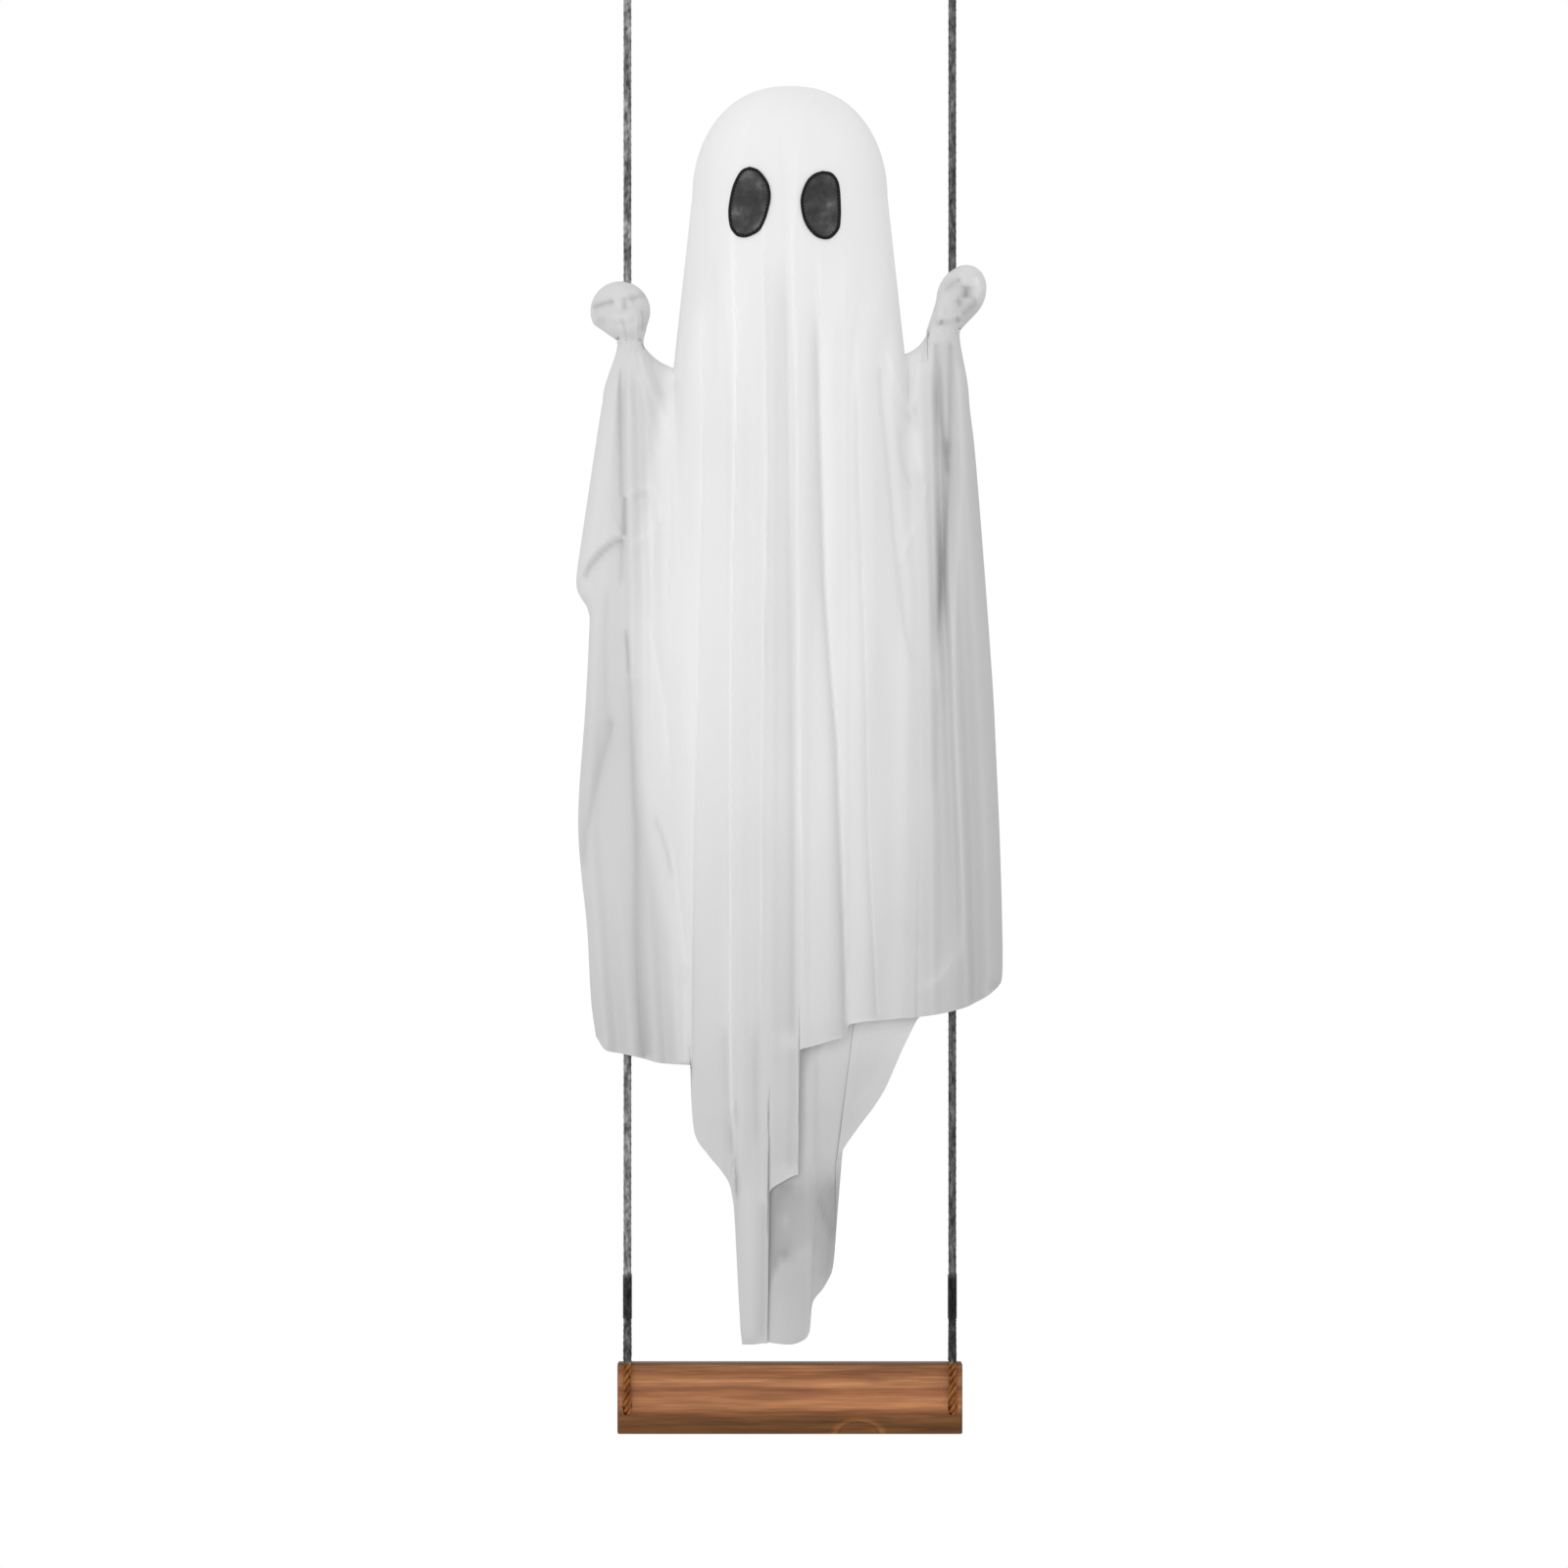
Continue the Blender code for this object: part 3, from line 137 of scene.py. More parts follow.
def ring_faces(rings, sides, turned=False, capped=True):
    """Faces between rings of points; `turned` is for rings that run the other way round."""
    faces = []
    for i in range(rings - 1):
        for k in range(sides):
            m = (k + 1) % sides
            a, b, c, d = i * sides + k, i * sides + m, (i + 1) * sides + m, (i + 1) * sides + k
            faces.append((a, d, c, b) if turned else (a, b, c, d))
    if capped:
        first, last = tuple(range(sides)), tuple((rings - 1) * sides + k for k in range(sides))
        faces += [first, last[::-1]] if turned else [first[::-1], last]
    return faces


def place(name, points, faces, material, slot):
    """A smooth mesh that rides on the part's one body."""
    mesh = bpy.data.meshes.new(name)
    mesh.from_pydata([tuple(float(v) for v in p) for p in points], [], faces)
    mesh.update()
    mesh.shade_smooth()
    mesh.materials.append(material)
    piece = bpy.data.objects.new(name, mesh)
    bpy.context.collection.objects.link(piece)
    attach(piece, "root")
    return piece


def add_values(piece, name, values):
    """One number for every point of the mesh, for its material to read."""
    layer = piece.data.attributes.new(name, 'FLOAT', 'POINT')
    layer.data.foreach_set("value", np.asarray(values, np.float32))

# %% [markdown]
# ## Materials
#
# A material is a net of nodes. Its patterns read object coordinates, so the grain has a real
# size. A colour ramp turns a pattern into colour and a bump node turns it into small relief.
# `Paint` adds nodes to one net, because every finish below needs the same few nodes.
# `grained` makes the simple finishes, which have one fine grain between two tones.

# %% Define the node shortcuts
class Paint:
    """Adds nodes to the net of one material, or of the world."""

    def __init__(self, tree):
        self.nodes, self.links = tree.nodes, tree.links

    def fill(self, node, inputs):
        """Give each named input a number, a colour or the output of another node."""
        for name, value in inputs.items():
            if isinstance(value, (float, int)):
                node.inputs[name].default_value = value
            elif isinstance(value, tuple):
                node.inputs[name].default_value = (*value, 1.0)
            else:
                self.links.new(value, node.inputs[name])
        return node

    def coordinates(self, stretch=(1, 1, 1)):
        mapping = self.nodes.new("ShaderNodeMapping")
        mapping.inputs["Scale"].default_value = stretch
        where = self.nodes.new("ShaderNodeTexCoord")
        return self.fill(mapping, {"Vector": where.outputs["Object"]}).outputs["Vector"]

    def axes(self):
        split = self.nodes.new("ShaderNodeSeparateXYZ")
        return self.fill(split, {"Vector": self.coordinates()}).outputs

    def stored(self, name):
        """The numbers that add_values gave to the mesh."""
        made = self.nodes.new("ShaderNodeAttribute")
        made.attribute_name = name
        return made.outputs["Fac"]

    def noise(self, scale, stretch=(1, 1, 1), detail=4.0, roughness=0.55):
        made = self.nodes.new("ShaderNodeTexNoise")
        return self.fill(made, {"Vector": self.coordinates(stretch), "Scale": scale, "Detail": detail,
                                "Roughness": roughness}).outputs["Fac"]

    def ramp(self, factor, stops):
        """Colours or greys for a factor of 0-1, listed as (position, colour)."""
        made = self.fill(self.nodes.new("ShaderNodeValToRGB"), {"Fac": factor})
        bar = made.color_ramp
        while len(bar.elements) < len(stops):
            bar.elements.new(0.5)
        for element, (position, colour) in zip(bar.elements, stops):
            element.position = position
            element.color = (*(colour if isinstance(colour, tuple) else (colour,) * 3), 1.0)
        return made.outputs["Color"]

    def scaled(self, value, low, high, to_low=0.0, to_high=1.0, clamp=True):
        made = self.nodes.new("ShaderNodeMapRange")
        made.clamp = clamp
        return self.fill(made, {"Value": value, "From Min": low, "From Max": high,
                                "To Min": to_low, "To Max": to_high}).outputs["Result"]

    def bump(self, height, strength, distance, below=None):
        made = self.fill(self.nodes.new("ShaderNodeBump"),
                         {"Height": height, "Strength": strength, "Distance": distance})
        if below is not None:
            self.fill(made, {"Normal": below})
        return made.outputs["Normal"]

    def mix(self, factor, first, second, blend='MIX'):
        made = self.nodes.new("ShaderNodeMix")
        made.data_type = 'RGBA'
        made.blend_type = blend
        return self.fill(made, {"Factor": factor, "A": first, "B": second}).outputs["Result"]

    def multiply(self, first, second):
        return self.mix(1.0, first, second, 'MULTIPLY')

    def maths(self, operation, first, second):
        made = self.nodes.new("ShaderNodeMath")
        made.operation = operation
        return self.fill(made, {0: first, 1: second}).outputs["Value"]


def new_material(name, roughness):
    made = bpy.data.materials.new(name)
    made.use_nodes = True
    paint = Paint(made.node_tree)
    shader = paint.nodes["Principled BSDF"]
    paint.fill(shader, {"Roughness": roughness, "Specular IOR Level": 0.2})
    return made, paint, shader


def grained(name, roughness, grain, tones, depth=None):
    """`grain` is what noise takes; `depth` is the strength and distance of a bump."""
    made, paint, shader = new_material(name, roughness)
    pattern = paint.noise(*grain)
    paint.fill(shader, {"Base Color": paint.ramp(pattern, [(0.3, tones[0]), (0.7, tones[1])])})
    if depth:
        paint.fill(shader, {"Normal": paint.bump(pattern, *depth)})
    return made

# %% [markdown]
# ### Rope
#
# The cord is dark grey and mottled. It is blackest at the binding, paler just above the bar and
# stained brown where it lies on the wood. A picture of rope could be wrapped round the tube, but
# it would show a seam and stretch at the turn. Noise has no seam, and its tones follow the
# height. Numbers stored on the mesh paint shade into the grooves between the strands and a
# little painted light onto their tops. The left rope, on the lamp's side, is painted lighter.

# %% Make the rope material
def make_rope_material():
    made, paint, shader = new_material("charcoal_rope", 0.88)
    fibres = paint.noise(900, (1, 1, 0.35), 5, 0.7)
    patches = paint.noise(230, (1.6, 1.0, 0.5), 4, 0.62)
    dark = paint.ramp(patches, [(0.34, 0.028), (0.5, 0.105), (0.66, 0.22)])
    brown = paint.ramp(patches, [(0.32, (0.15, 0.048, 0.010)), (0.52, (0.33, 0.115, 0.024)),
                                 (0.72, (0.48, 0.20, 0.06))])
    where = paint.axes()
    # 0 is 85 mm above the bar and 1 is the bar's top
    level = paint.scaled(where["Z"], -SEAT_DROP + 85 * MM, -SEAT_DROP)
    # darkest along the binding, and darker than higher up from there down to the bar's top
    lower_darkening = paint.ramp(level, [(0.0, 1.0), (0.24, 0.9), (0.3, 0.16), (0.60, 0.16), (0.66, 0.42),
                              (0.97, 0.42), (1.0, 1.0)])
    # painted light: the left rope, on the lamp's side, is made about twice as light as the right one
    side = paint.scaled(where["X"], -0.1, 0.1)
    dark = paint.multiply(paint.multiply(dark, lower_darkening), paint.ramp(side, [(0.0, 1.9), (1.0, 0.95)]))
    stain = paint.scaled(where["Z"], -SEAT_DROP + 1.5 * MM, -SEAT_DROP - 1.0 * MM)
    # painted shade in the grooves between the strands, and painted light on the strands' tops
    groove_shade = paint.ramp(paint.stored("groove_shade"), [(0.0, 0.35), (0.45, 0.9), (1.0, 1.15)])
    colour = paint.multiply(paint.mix(stain, dark, brown), groove_shade)
    colour = paint.multiply(colour, paint.ramp(fibres, [(0.3, 0.55), (0.7, 1.3)]))
    paint.fill(shader, {"Base Color": colour, "Normal": paint.bump(fibres, 0.6, 0.4 * MM)})
    return made


rope_material = make_rope_material()

# %% [markdown]
# ## The ropes
#
# Each rope is one cord: from the knot above the picture, through the hand, down in front of
# the bar, round through it, and up the back to where twine binds it to itself. A smooth tube
# with a bump pattern would look flat at its edge. So the surface is three strands laid together:
# a three-lobed outline that turns as it runs along the route. The strands are worn nearly round
# above the bar and stand out below its top.

# %% Find the rope's route
EYE_LENGTH = 56.0 * MM
KNOT_LENGTH = 20.0 * MM
SEAT_FLOOR = 7.0 * MM
ROPE_STRAIGHT = 8.0 * MM
WHIPPING_LENGTH = 32.0 * MM
WHIPPING_RISE = 31.0 * MM
BIND_LOW = SEAT_DROP - WHIPPING_RISE
BIND_TOP = BIND_LOW - WHIPPING_LENGTH
ROPE_STEP = 1.6 * MM
ROPE_LAY = 17.0 * MM                # length in which the strands turn once
ROPE_SIDES = 21
STRANDS = 3
WORN, FRESH = 0.94, 0.60            # depth of the grooves, as a share of the rope's radius


def rope_route(x):
    """Down from the knot, round through the bar and back up to the twine."""
    turn_r = SEAT_THICKNESS / 2 + ROPE_R + GAP
    turn_drop = -seat_low.z - SEAT_FLOOR - ROPE_R - turn_r
    pair = ROPE_R + GAP
    start = EYE_LENGTH + KNOT_LENGTH - 5 * MM
    above = SEAT_DROP - ROPE_STRAIGHT
    spread = (0.5 * (pair + turn_r), 0.5 * (BIND_LOW + above))
    points = [(0, start), (0, 0.5 * start + 0.5 * BIND_TOP), (0, BIND_TOP - 60 * MM),
              (0, BIND_TOP - 30 * MM), (-0.5 * pair, BIND_TOP - 16 * MM),
              (-pair, BIND_TOP - 2 * MM), (-pair, BIND_TOP + 12 * MM), (-pair, BIND_LOW - 10 * MM),
              (-pair, BIND_LOW + 3 * MM), (-spread[0], spread[1]),
              (-turn_r, above), (-turn_r, SEAT_DROP + 3 * MM)]
    points += [(-turn_r * math.cos(math.pi * k / 6), turn_drop + turn_r * math.sin(math.pi * k / 6))
               for k in range(7)]
    points += [(turn_r, SEAT_DROP + 3 * MM), (turn_r, above), spread,
               (pair, BIND_LOW + 3 * MM), (pair, BIND_LOW - 10 * MM), (pair, BIND_TOP + 2 * MM)]
    return smooth_curve([(x, y, -drop) for y, drop in points], ROPE_STEP)


def strand_outline(depth):
    """Outline of round strands that touch each other, as radii at even angles."""
    strand = ROPE_R * math.sin(math.pi / STRANDS) / (1 + math.sin(math.pi / STRANDS))
    centre = ROPE_R - strand
    radii = []
    for k in range(ROPE_SIDES):
        angle = 2 * math.pi * k / ROPE_SIDES
        off = (angle + math.pi / STRANDS) % (2 * math.pi / STRANDS) - math.pi / STRANDS
        under = max(strand ** 2 - (centre * math.sin(off)) ** 2, 0.0)
        radii.append(max(centre * math.cos(off) + math.sqrt(under), depth * ROPE_R))
    return np.array(radii)


def twisted_tube(route):
    """Points, faces and groove_shade values of a laid rope: painted shade in its grooves."""
    worn, fresh = strand_outline(WORN), strand_outline(FRESH)
    points, groove_shade = [], []
    across = Vector((1, 0, 0))
    run = 0.0
    for i, p in enumerate(route):
        ahead = direction(route, i)
        across = (across - ahead * across.dot(ahead)).normalized()
        other = ahead.cross(across)
        turn = 2 * math.pi * run / ROPE_LAY
        share = float(ease((-p.z - SEAT_DROP + 4 * MM) / (8 * MM)))
        for k, r in enumerate(worn * (1 - share) + fresh * share):
            angle = 2 * math.pi * k / ROPE_SIDES + turn
            points.append(p + (across * math.cos(angle) + other * math.sin(angle)) * r)
            ridge = (fresh[k] / ROPE_R - FRESH) / (1 - FRESH)
            groove_shade.append(ridge * (0.45 + 0.55 * share) + 0.55 * (1 - share))
        if i + 1 < len(route):
            run += (route[i + 1] - p).length
    return points, ring_faces(len(route), ROPE_SIDES), groove_shade


def length_of(route):
    return sum((b - a).length for a, b in zip(route, route[1:]))

# %% [markdown]
# ### Loops, knots and bindings
#
# The rope ends in a loop above the picture, closed by a wound knot, and twine binds its lower end
# to itself. These could be plain rings. Cord wound as a helix was chosen, because then each turn
# stands out as it does on a real knot.

# %% Make the ropes, loops, knots and bindings
LOOP_FOOT = 5 * MM                  # how far the loop's two ends reach into the knot
KNOT_TURNS = 3
KNOT_CORD_R = 2.6 * MM
TWINE_R = 0.35 * MM
TWINE_TURNS = 44


def helix_tube(centre, axis_radius, pitch, turns, radius, squash=1.0, step=14, sides=10):
    """Cord wound round a vertical core from `centre` downwards, as points and faces."""
    route = []
    for k in range(turns * step + 1):
        angle = 2 * math.pi * k / step
        route.append(Vector((centre[0] + axis_radius * math.cos(angle),
                             centre[1] + squash * axis_radius * math.sin(angle),
                             centre[2] - pitch * k / step)))
    points = []
    for i, p in enumerate(route):
        out = (p - Vector((centre[0], centre[1], p.z))).normalized()
        up = direction(route, i).cross(out)
        for k in range(sides):
            angle = 2 * math.pi * k / sides
            points.append(p + (out * math.cos(angle) + up * math.sin(angle)) * radius)
    return points, ring_faces(len(route), sides, turned=True)


def place_rope(name, route, node):
    points, faces, groove_shade = twisted_tube(route)
    piece = place(name, points, faces, rope_material, "rope")
    add_values(piece, "groove_shade", groove_shade)
    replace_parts(piece, node)
    return piece


def place_windings(name, shape, slot, node):
    piece = place(name, *shape, rope_material, slot)
    add_values(piece, "groove_shade", [0.8] * len(shape[0]))
    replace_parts(piece, node)
    return piece


def loop_route(x, node):
    low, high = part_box(node)
    half = (high.x - low.x) / 2 - ROPE_R
    foot = 0.5 * ROPE_R + 1.7 * MM
    start = -EYE_LENGTH - LOOP_FOOT
    bend = -ROPE_R - half
    points = [(x - foot, 0, start), (x - foot, 0, start + 6 * MM), (x - foot, 0, start + 11 * MM),
              (x - 0.75 * half, 0, -EYE_LENGTH + 0.36 * EYE_LENGTH)]
    points += [(x - half * math.cos(math.pi * k / 6), 0, bend + half * math.sin(math.pi * k / 6))
               for k in range(7)]
    points += [(2 * x - p[0], 0, p[2]) for p in reversed(points[:4])]
    return smooth_curve(points, ROPE_STEP)


def make_rope(side):
    label = "left" if side < 0 else "right"
    x = side * ROPE_X
    route = rope_route(x)
    rope = place_rope("rope_twisted_" + label, route, "rope_" + label)
    loop = place_rope("loop_twisted_" + label, loop_route(x, "hanging_eye_" + label),
                      "hanging_eye_" + label)
    pitch = (KNOT_LENGTH - 2 * KNOT_CORD_R) / KNOT_TURNS
    knot = place_windings("knot_" + label,
                          helix_tube((x, 0, -EYE_LENGTH - KNOT_CORD_R), 5.0 * MM, pitch, KNOT_TURNS,
                                     KNOT_CORD_R), "rope", "top_knot_" + label)
    pitch = (WHIPPING_LENGTH - 2 * TWINE_R) / TWINE_TURNS
    binding = place_windings("binding_" + label,
                             helix_tube((x, 0, -BIND_TOP - TWINE_R), ROPE_R, pitch, TWINE_TURNS,
                                        TWINE_R, squash=(2 * ROPE_R + GAP) / ROPE_R, sides=6),
                             "twine", "seat_whipping_" + label)
    print("rope", label, round(length_of(route), 3), "m", len(rope.data.polygons), "faces")


for side in (-1, 1):
    make_rope(side)

# %% [markdown]
# ## The shape of the cloth
#
# The real ghost is one sheet of thin cloth, laid over a foam head and tied at both wrists. A
# cloth simulation could drape it, but its folds would fall in other places than in the picture.
# So it is modelled in code, as a bag of columns. A column starts on the top edge, which runs
# from the left hand over the head to the right hand, and falls to the hem. `along` says where
# on the top edge it starts: 0-1 left hand, 1-2 left valley, 2-3 head, 3-4 right valley, 4-5
# right hand.

# %% Set the sizes of the head, hands and edges
CROWN_DROP = 159.6 * MM
HEAD_HALF_WIDTH = 69.7 * MM
DOME_HEIGHT = 78.4 * MM
DOME_SQUARENESS = 2.3
NECK_FLARE = 0.109
HEAD_DEPTH_RATIO = 0.80
BODY_DEPTH_RATIO = 0.46
LEFT_NOTCH_DROP = 361.0 * MM
RIGHT_NOTCH_DROP = 351.0 * MM
SHOULDER_DROP = 385.0 * MM
WAIST_DROP = 518.0 * MM
SKIRT_DROP = 693.0 * MM
FOLD_START_DROP = 275.0 * MM
WING_EDGE = 13.0 * MM
TIE_WIDTH = 3.0 * MM
LEFT_HAND = dict(side=-1, out=5.1 * MM, drop=320.3 * MM, across=21.35 * MM, along=21.35 * MM,
                 deep=21.35 * MM, tilt=0.0, wrist_in=1.9 * MM, wrist=9.4 * MM,
                 wrist_drop=344.4 * MM, gather=0.6)
RIGHT_HAND = dict(side=1, out=6.5 * MM, drop=308.0 * MM, across=16.8 * MM, along=21.7 * MM,
                  deep=16.8 * MM, tilt=27.0, wrist_in=6.4 * MM, wrist=11.9 * MM,
                  wrist_drop=337.0 * MM, gather=0.25)
# Sides of the cloth, and of the body between the wings: (drop, x) in mm
LEFT_EDGE = [(344, -123.2), (356, -127.4), (381, -133), (406, -137.2), (481, -148.4),
             (513, -152.6), (524, -149.8), (535, -143.5), (553, -143.5), (607, -146.3),
             (658, -150.2), (689, -151.2), (721, -149.1), (760, -144.9), (811, -142.1),
             (838, -138.6)]
RIGHT_EDGE = [(337, 121.5), (356, 125), (392, 128.8), (422, 132.3), (500, 138.6),
              (588, 144.9), (630, 147), (714, 150.5), (790, 151.9), (803, 148.5)]
BODY_LEFT = [(518, -81), (693, -75), (858, -71), (893, -70), (945, -45), (1058, -36)]
BODY_RIGHT = [(518, 93), (693, 97), (826, 92), (925, 38), (1005, 32), (1058, 14)]

# %% Set the folds
# (along, x at shoulder, waist, skirt, hem, hem drop, crest at shoulder, waist, hem) in mm
FRONT_FOLDS = [
    (0.00, -133.7, -151.2, -151.5, -138.6, 838, 0, 0, 0),
    (0.15, -130, -144, -145, -131, 848, 1, 3, 4),
    (0.33, -125, -135, -134, -122, 850, 2, 1, -3),
    (0.50, -120, -119.5, -123, -112, 852, -1.5, -2, 2),
    (0.66, -115, -112, -113, -104, 854, 3, 4, -2),
    (0.85, -108, -104, -104, -95, 856.5, 0, -2, 3),
    (1.00, -103, -98, -97, -88, 857.5, 2, 3, -2),
    (1.45, -93, -89, -87, -79, 858, -2, -1, 3),
    (2.00, -83.5, -80.5, -75, -71, 858.5, 0, 0, 0),
    (2.01, -82.8, -80, -74.2, -70.5, 880, 0, 0, 0),
    (2.05, -76.3, -74.2, -70.7, -68, 907, 2, 2, 2),
    (2.12, -65, -65, -63, -58.8, 922, 4, 4, 3),
    (2.20, -54.6, -54.6, -53.2, -49, 934, 0, 0, 1),
    (2.27, -46.2, -46.2, -46.2, -43, 944, -3, -3, -2),
    (2.32, -40.6, -40.6, -41, -40, 960, 3, 4, 2),
    (2.35, -36, -36, -37, -34, 1058, 2, 3, 2),
    (2.40, -26.6, -26.6, -27.3, -27, 1058, -3, -4, -2),
    (2.45, -18, -18, -18.5, -19, 1057, 4, 4, 3),
    (2.465, -15.5, -15.5, -16, -16, 1057, 3, 3, 2),
    (2.475, -14, -14, -14.5, -14.5, 949, 2, 2, 2),
    (2.51, -6.3, -6.3, -6.5, -6, 942, -4, -4, -3),
    (2.555, 0.5, 0.5, 0.7, 2, 937.5, -2, -1, -1),
    (2.59, 5, 5, 4.9, 6.0, 936, 5, 5, 3),
    (2.60, 8.4, 8, 7.3, 7.2, 847, 4, 4, 4),
    (2.66, 20.3, 19, 15.5, 16, 844.5, -3, -3, -2),
    (2.72, 29.4, 29.4, 27.3, 28, 841, 4, 4, 3),
    (2.78, 39.5, 39.9, 39, 39.6, 837, 0, 0, 1),
    (2.79, 42, 43, 43, 42.5, 829, -2, -2, -2),
    (2.85, 53.2, 56, 55, 55, 827, 2, 2, 2),
    (2.91, 65, 77, 72, 69.5, 826, -4, -4, -1),
    (2.96, 74, 86, 83, 80, 825, 3, 3, 3),
    (3.00, 82.5, 92, 93, 90, 824.5, 1, 0, -2),
    (3.50, 92, 98, 101, 101, 823, 2, 2, 2),
    (4.00, 100, 103.5, 109, 110, 821.5, -1, -1, -2),
    (4.20, 105.5, 109.5, 116, 118, 819.5, -5, -6, -1),
    (4.40, 111, 114, 122, 126, 817, 2, 3, 3),
    (4.60, 117, 122, 130, 133, 813.5, 0, -1, -2),
    (4.80, 122.5, 130.5, 139.5, 141, 809, 2, 3, 3),
    (5.00, 128, 140, 149, 148.5, 803, 0, 0, 0),
]
BACK_FOLDS = [
    (0.00, -133.7, -151.2, -151.5, -138.6, 838, 0, 0, 0),
    (0.50, -119, -121, -122, -112, 850, 2, 4, 5),
    (1.00, -103, -99, -98, -88, 852, -1, -3, -3),
    (1.45, -92, -89, -87, -79, 853, 2, 3, 4),
    (2.00, -83.5, -81, -76, -69, 855, -1, -2, -2),
    (2.05, -77, -75, -70, -64, 900, 1, 2, 2),
    (2.12, -66, -64, -62, -55, 918, 3, 5, 4),
    (2.27, -46, -45, -43, -38, 945, -3, -4, -3),
    (2.35, -33, -30, -28, -30, 1052, 3, 6, 4),
    (2.45, -16, -14, -12, -17, 1056, -3, -4, -2),
    (2.555, 2, 6, 8, 0, 1058, 3, 6, 4),
    (2.62, 13, 18, 20, 9.8, 1055, 0, 0, 1),
    (2.66, 21, 26, 28, 14, 1049, -3, -4, -2),
    (2.69, 27, 32, 35, 16, 1029, -2, -2, 0),
    (2.72, 33, 38, 42, 24.5, 1017, 1, 1, 2),
    (2.75, 39, 45, 49, 30.5, 1004, 3, 5, 3),
    (2.785, 45, 52, 56, 32.3, 985, 1, 2, 2),
    (2.82, 51, 58, 63, 33, 930, -2, -2, -1),
    (2.85, 56, 64, 69, 38, 919, -3, -4, -2),
    (2.88, 61, 70, 74, 48.3, 904, 0, 0, 0),
    (2.91, 66, 75, 79, 61, 887, 3, 4, 2),
    (2.935, 70, 79, 83, 68, 875.5, 2, 2, 1),
    (2.96, 75, 84, 87, 80.5, 847, -1, -1, 0),
    (3.00, 82.5, 91, 93, 91, 826, -2, -3, -1),
    (3.50, 92, 98, 101, 101, 817, 2, 3, 4),
    (4.00, 100, 104, 110, 110, 815, -1, -2, -3),
    (4.50, 113, 118, 126, 128, 808, 2, 4, 4),
    (5.00, 128, 140, 149, 148.5, 803, 0, 0, 0),
]

# %% Draw the top edge of the cloth
EDGE_PARTS = 400                    # steps in each of the five parts of the top edge
VALLEY_SAG = 3.0 * MM


def head_half_width(drop):
    below = np.maximum(np.asarray(drop, float) - CROWN_DROP, 0)
    rise = np.clip(1 - below / DOME_HEIGHT, 0, 1)
    dome = HEAD_HALF_WIDTH * (1 - rise * rise) ** (1 / DOME_SQUARENESS)
    return np.where(below < DOME_HEIGHT, dome, HEAD_HALF_WIDTH + NECK_FLARE * (below - DOME_HEIGHT))


def wrist_centre(hand):
    return hand["side"] * (ROPE_X - hand["wrist_in"]), hand["wrist_drop"]


def even_points(points):
    points = np.array(points, float)
    run = np.concatenate([[0], np.cumsum(np.hypot(*np.diff(points, axis=0).T))])
    wanted = np.linspace(0, run[-1], EDGE_PARTS + 1)
    return np.stack([np.interp(wanted, run, points[:, k]) for k in (0, 1)], axis=1)


def hand_outline(hand, inner_start, outer_end):
    """From the outer side of the wrist over the hand to its inner side."""
    side, tilt = hand["side"], math.radians(hand["tilt"])
    angle = np.radians(np.linspace(outer_end, inner_start, 49))
    across, along = hand["across"] * np.sin(angle), hand["along"] * np.cos(angle)
    x = across * math.cos(tilt) + along * math.sin(tilt)
    drop = across * math.sin(tilt) - along * math.cos(tilt)
    arc = [(side * (ROPE_X + hand["out"]) + side * a, hand["drop"] + b) for a, b in zip(x, drop)]
    wx, wd = wrist_centre(hand)
    top = wd - TIE_WIDTH
    outer, inner = (wx + side * hand["wrist"], top), (wx - side * hand["wrist"], top)
    outer_turn = (0.6 * outer[0] + 0.4 * arc[0][0], 0.6 * top + 0.4 * arc[0][1])
    inner_turn = (0.6 * inner[0] + 0.4 * arc[-1][0], 0.6 * top + 0.4 * arc[-1][1])
    return even_points([outer, outer_turn] + arc + [inner_turn, inner])


def head_outline():
    dome = CROWN_DROP + DOME_HEIGHT * (1 - np.cos(math.pi / 2 * np.arange(80) / 80))
    left = np.linspace(LEFT_NOTCH_DROP, CROWN_DROP + DOME_HEIGHT, 20)
    right = np.linspace(CROWN_DROP + DOME_HEIGHT, RIGHT_NOTCH_DROP, 20)
    drops = [(-1, d) for d in left] + [(-1, d) for d in dome[::-1]]
    drops += [(1, d) for d in dome[1:]] + [(1, d) for d in right]
    return even_points([(s * float(head_half_width(d)), d) for s, d in drops])


def valley_outline(wrist_end, notch):
    (x0, d0), (x1, d1) = wrist_end, notch
    points = [(x0, d0)]
    d0 += TIE_WIDTH
    for k in range(25):
        t = k / 24
        sag = VALLEY_SAG * math.sin(math.pi * t ** 0.8)
        points.append((x0 + (x1 - x0) * t, d0 + (d1 - d0) * t + sag))
    return even_points(points)


left_hand = hand_outline(LEFT_HAND, -112, 116)
right_hand = hand_outline(RIGHT_HAND, -125, 108)[::-1]
head = head_outline()
RIDGE = [left_hand, valley_outline(left_hand[-1], head[0]), head,
         valley_outline(right_hand[0], head[-1])[::-1], right_hand]
EDGES = [np.array(smooth_curve([(x * MM, d * MM, 0) for d, x in edge], 4 * MM))[:, :2]
         for edge in (LEFT_EDGE, RIGHT_EDGE)]
print("top edge", round(sum(np.hypot(*np.diff(r, axis=0).T).sum() for r in RIDGE), 3), "m long")

# %% [markdown]
# ### How deep the cloth is
#
# The head and the arms hold the cloth out, but a picture from the front shows no depth. It
# could be sculpted by hand. Two formulas were chosen, because then the front, the back and the
# eyes all lie on the same surface: an ellipse for the body under the head, and a round edge
# along the outline for the arms. Both work on all points at once.

# %% Work out the depth
OUTLINE_PARTS = [RIDGE[0][::8], RIDGE[1][::16], RIDGE[3][::16], RIDGE[4][::8], EDGES[0], EDGES[1]]


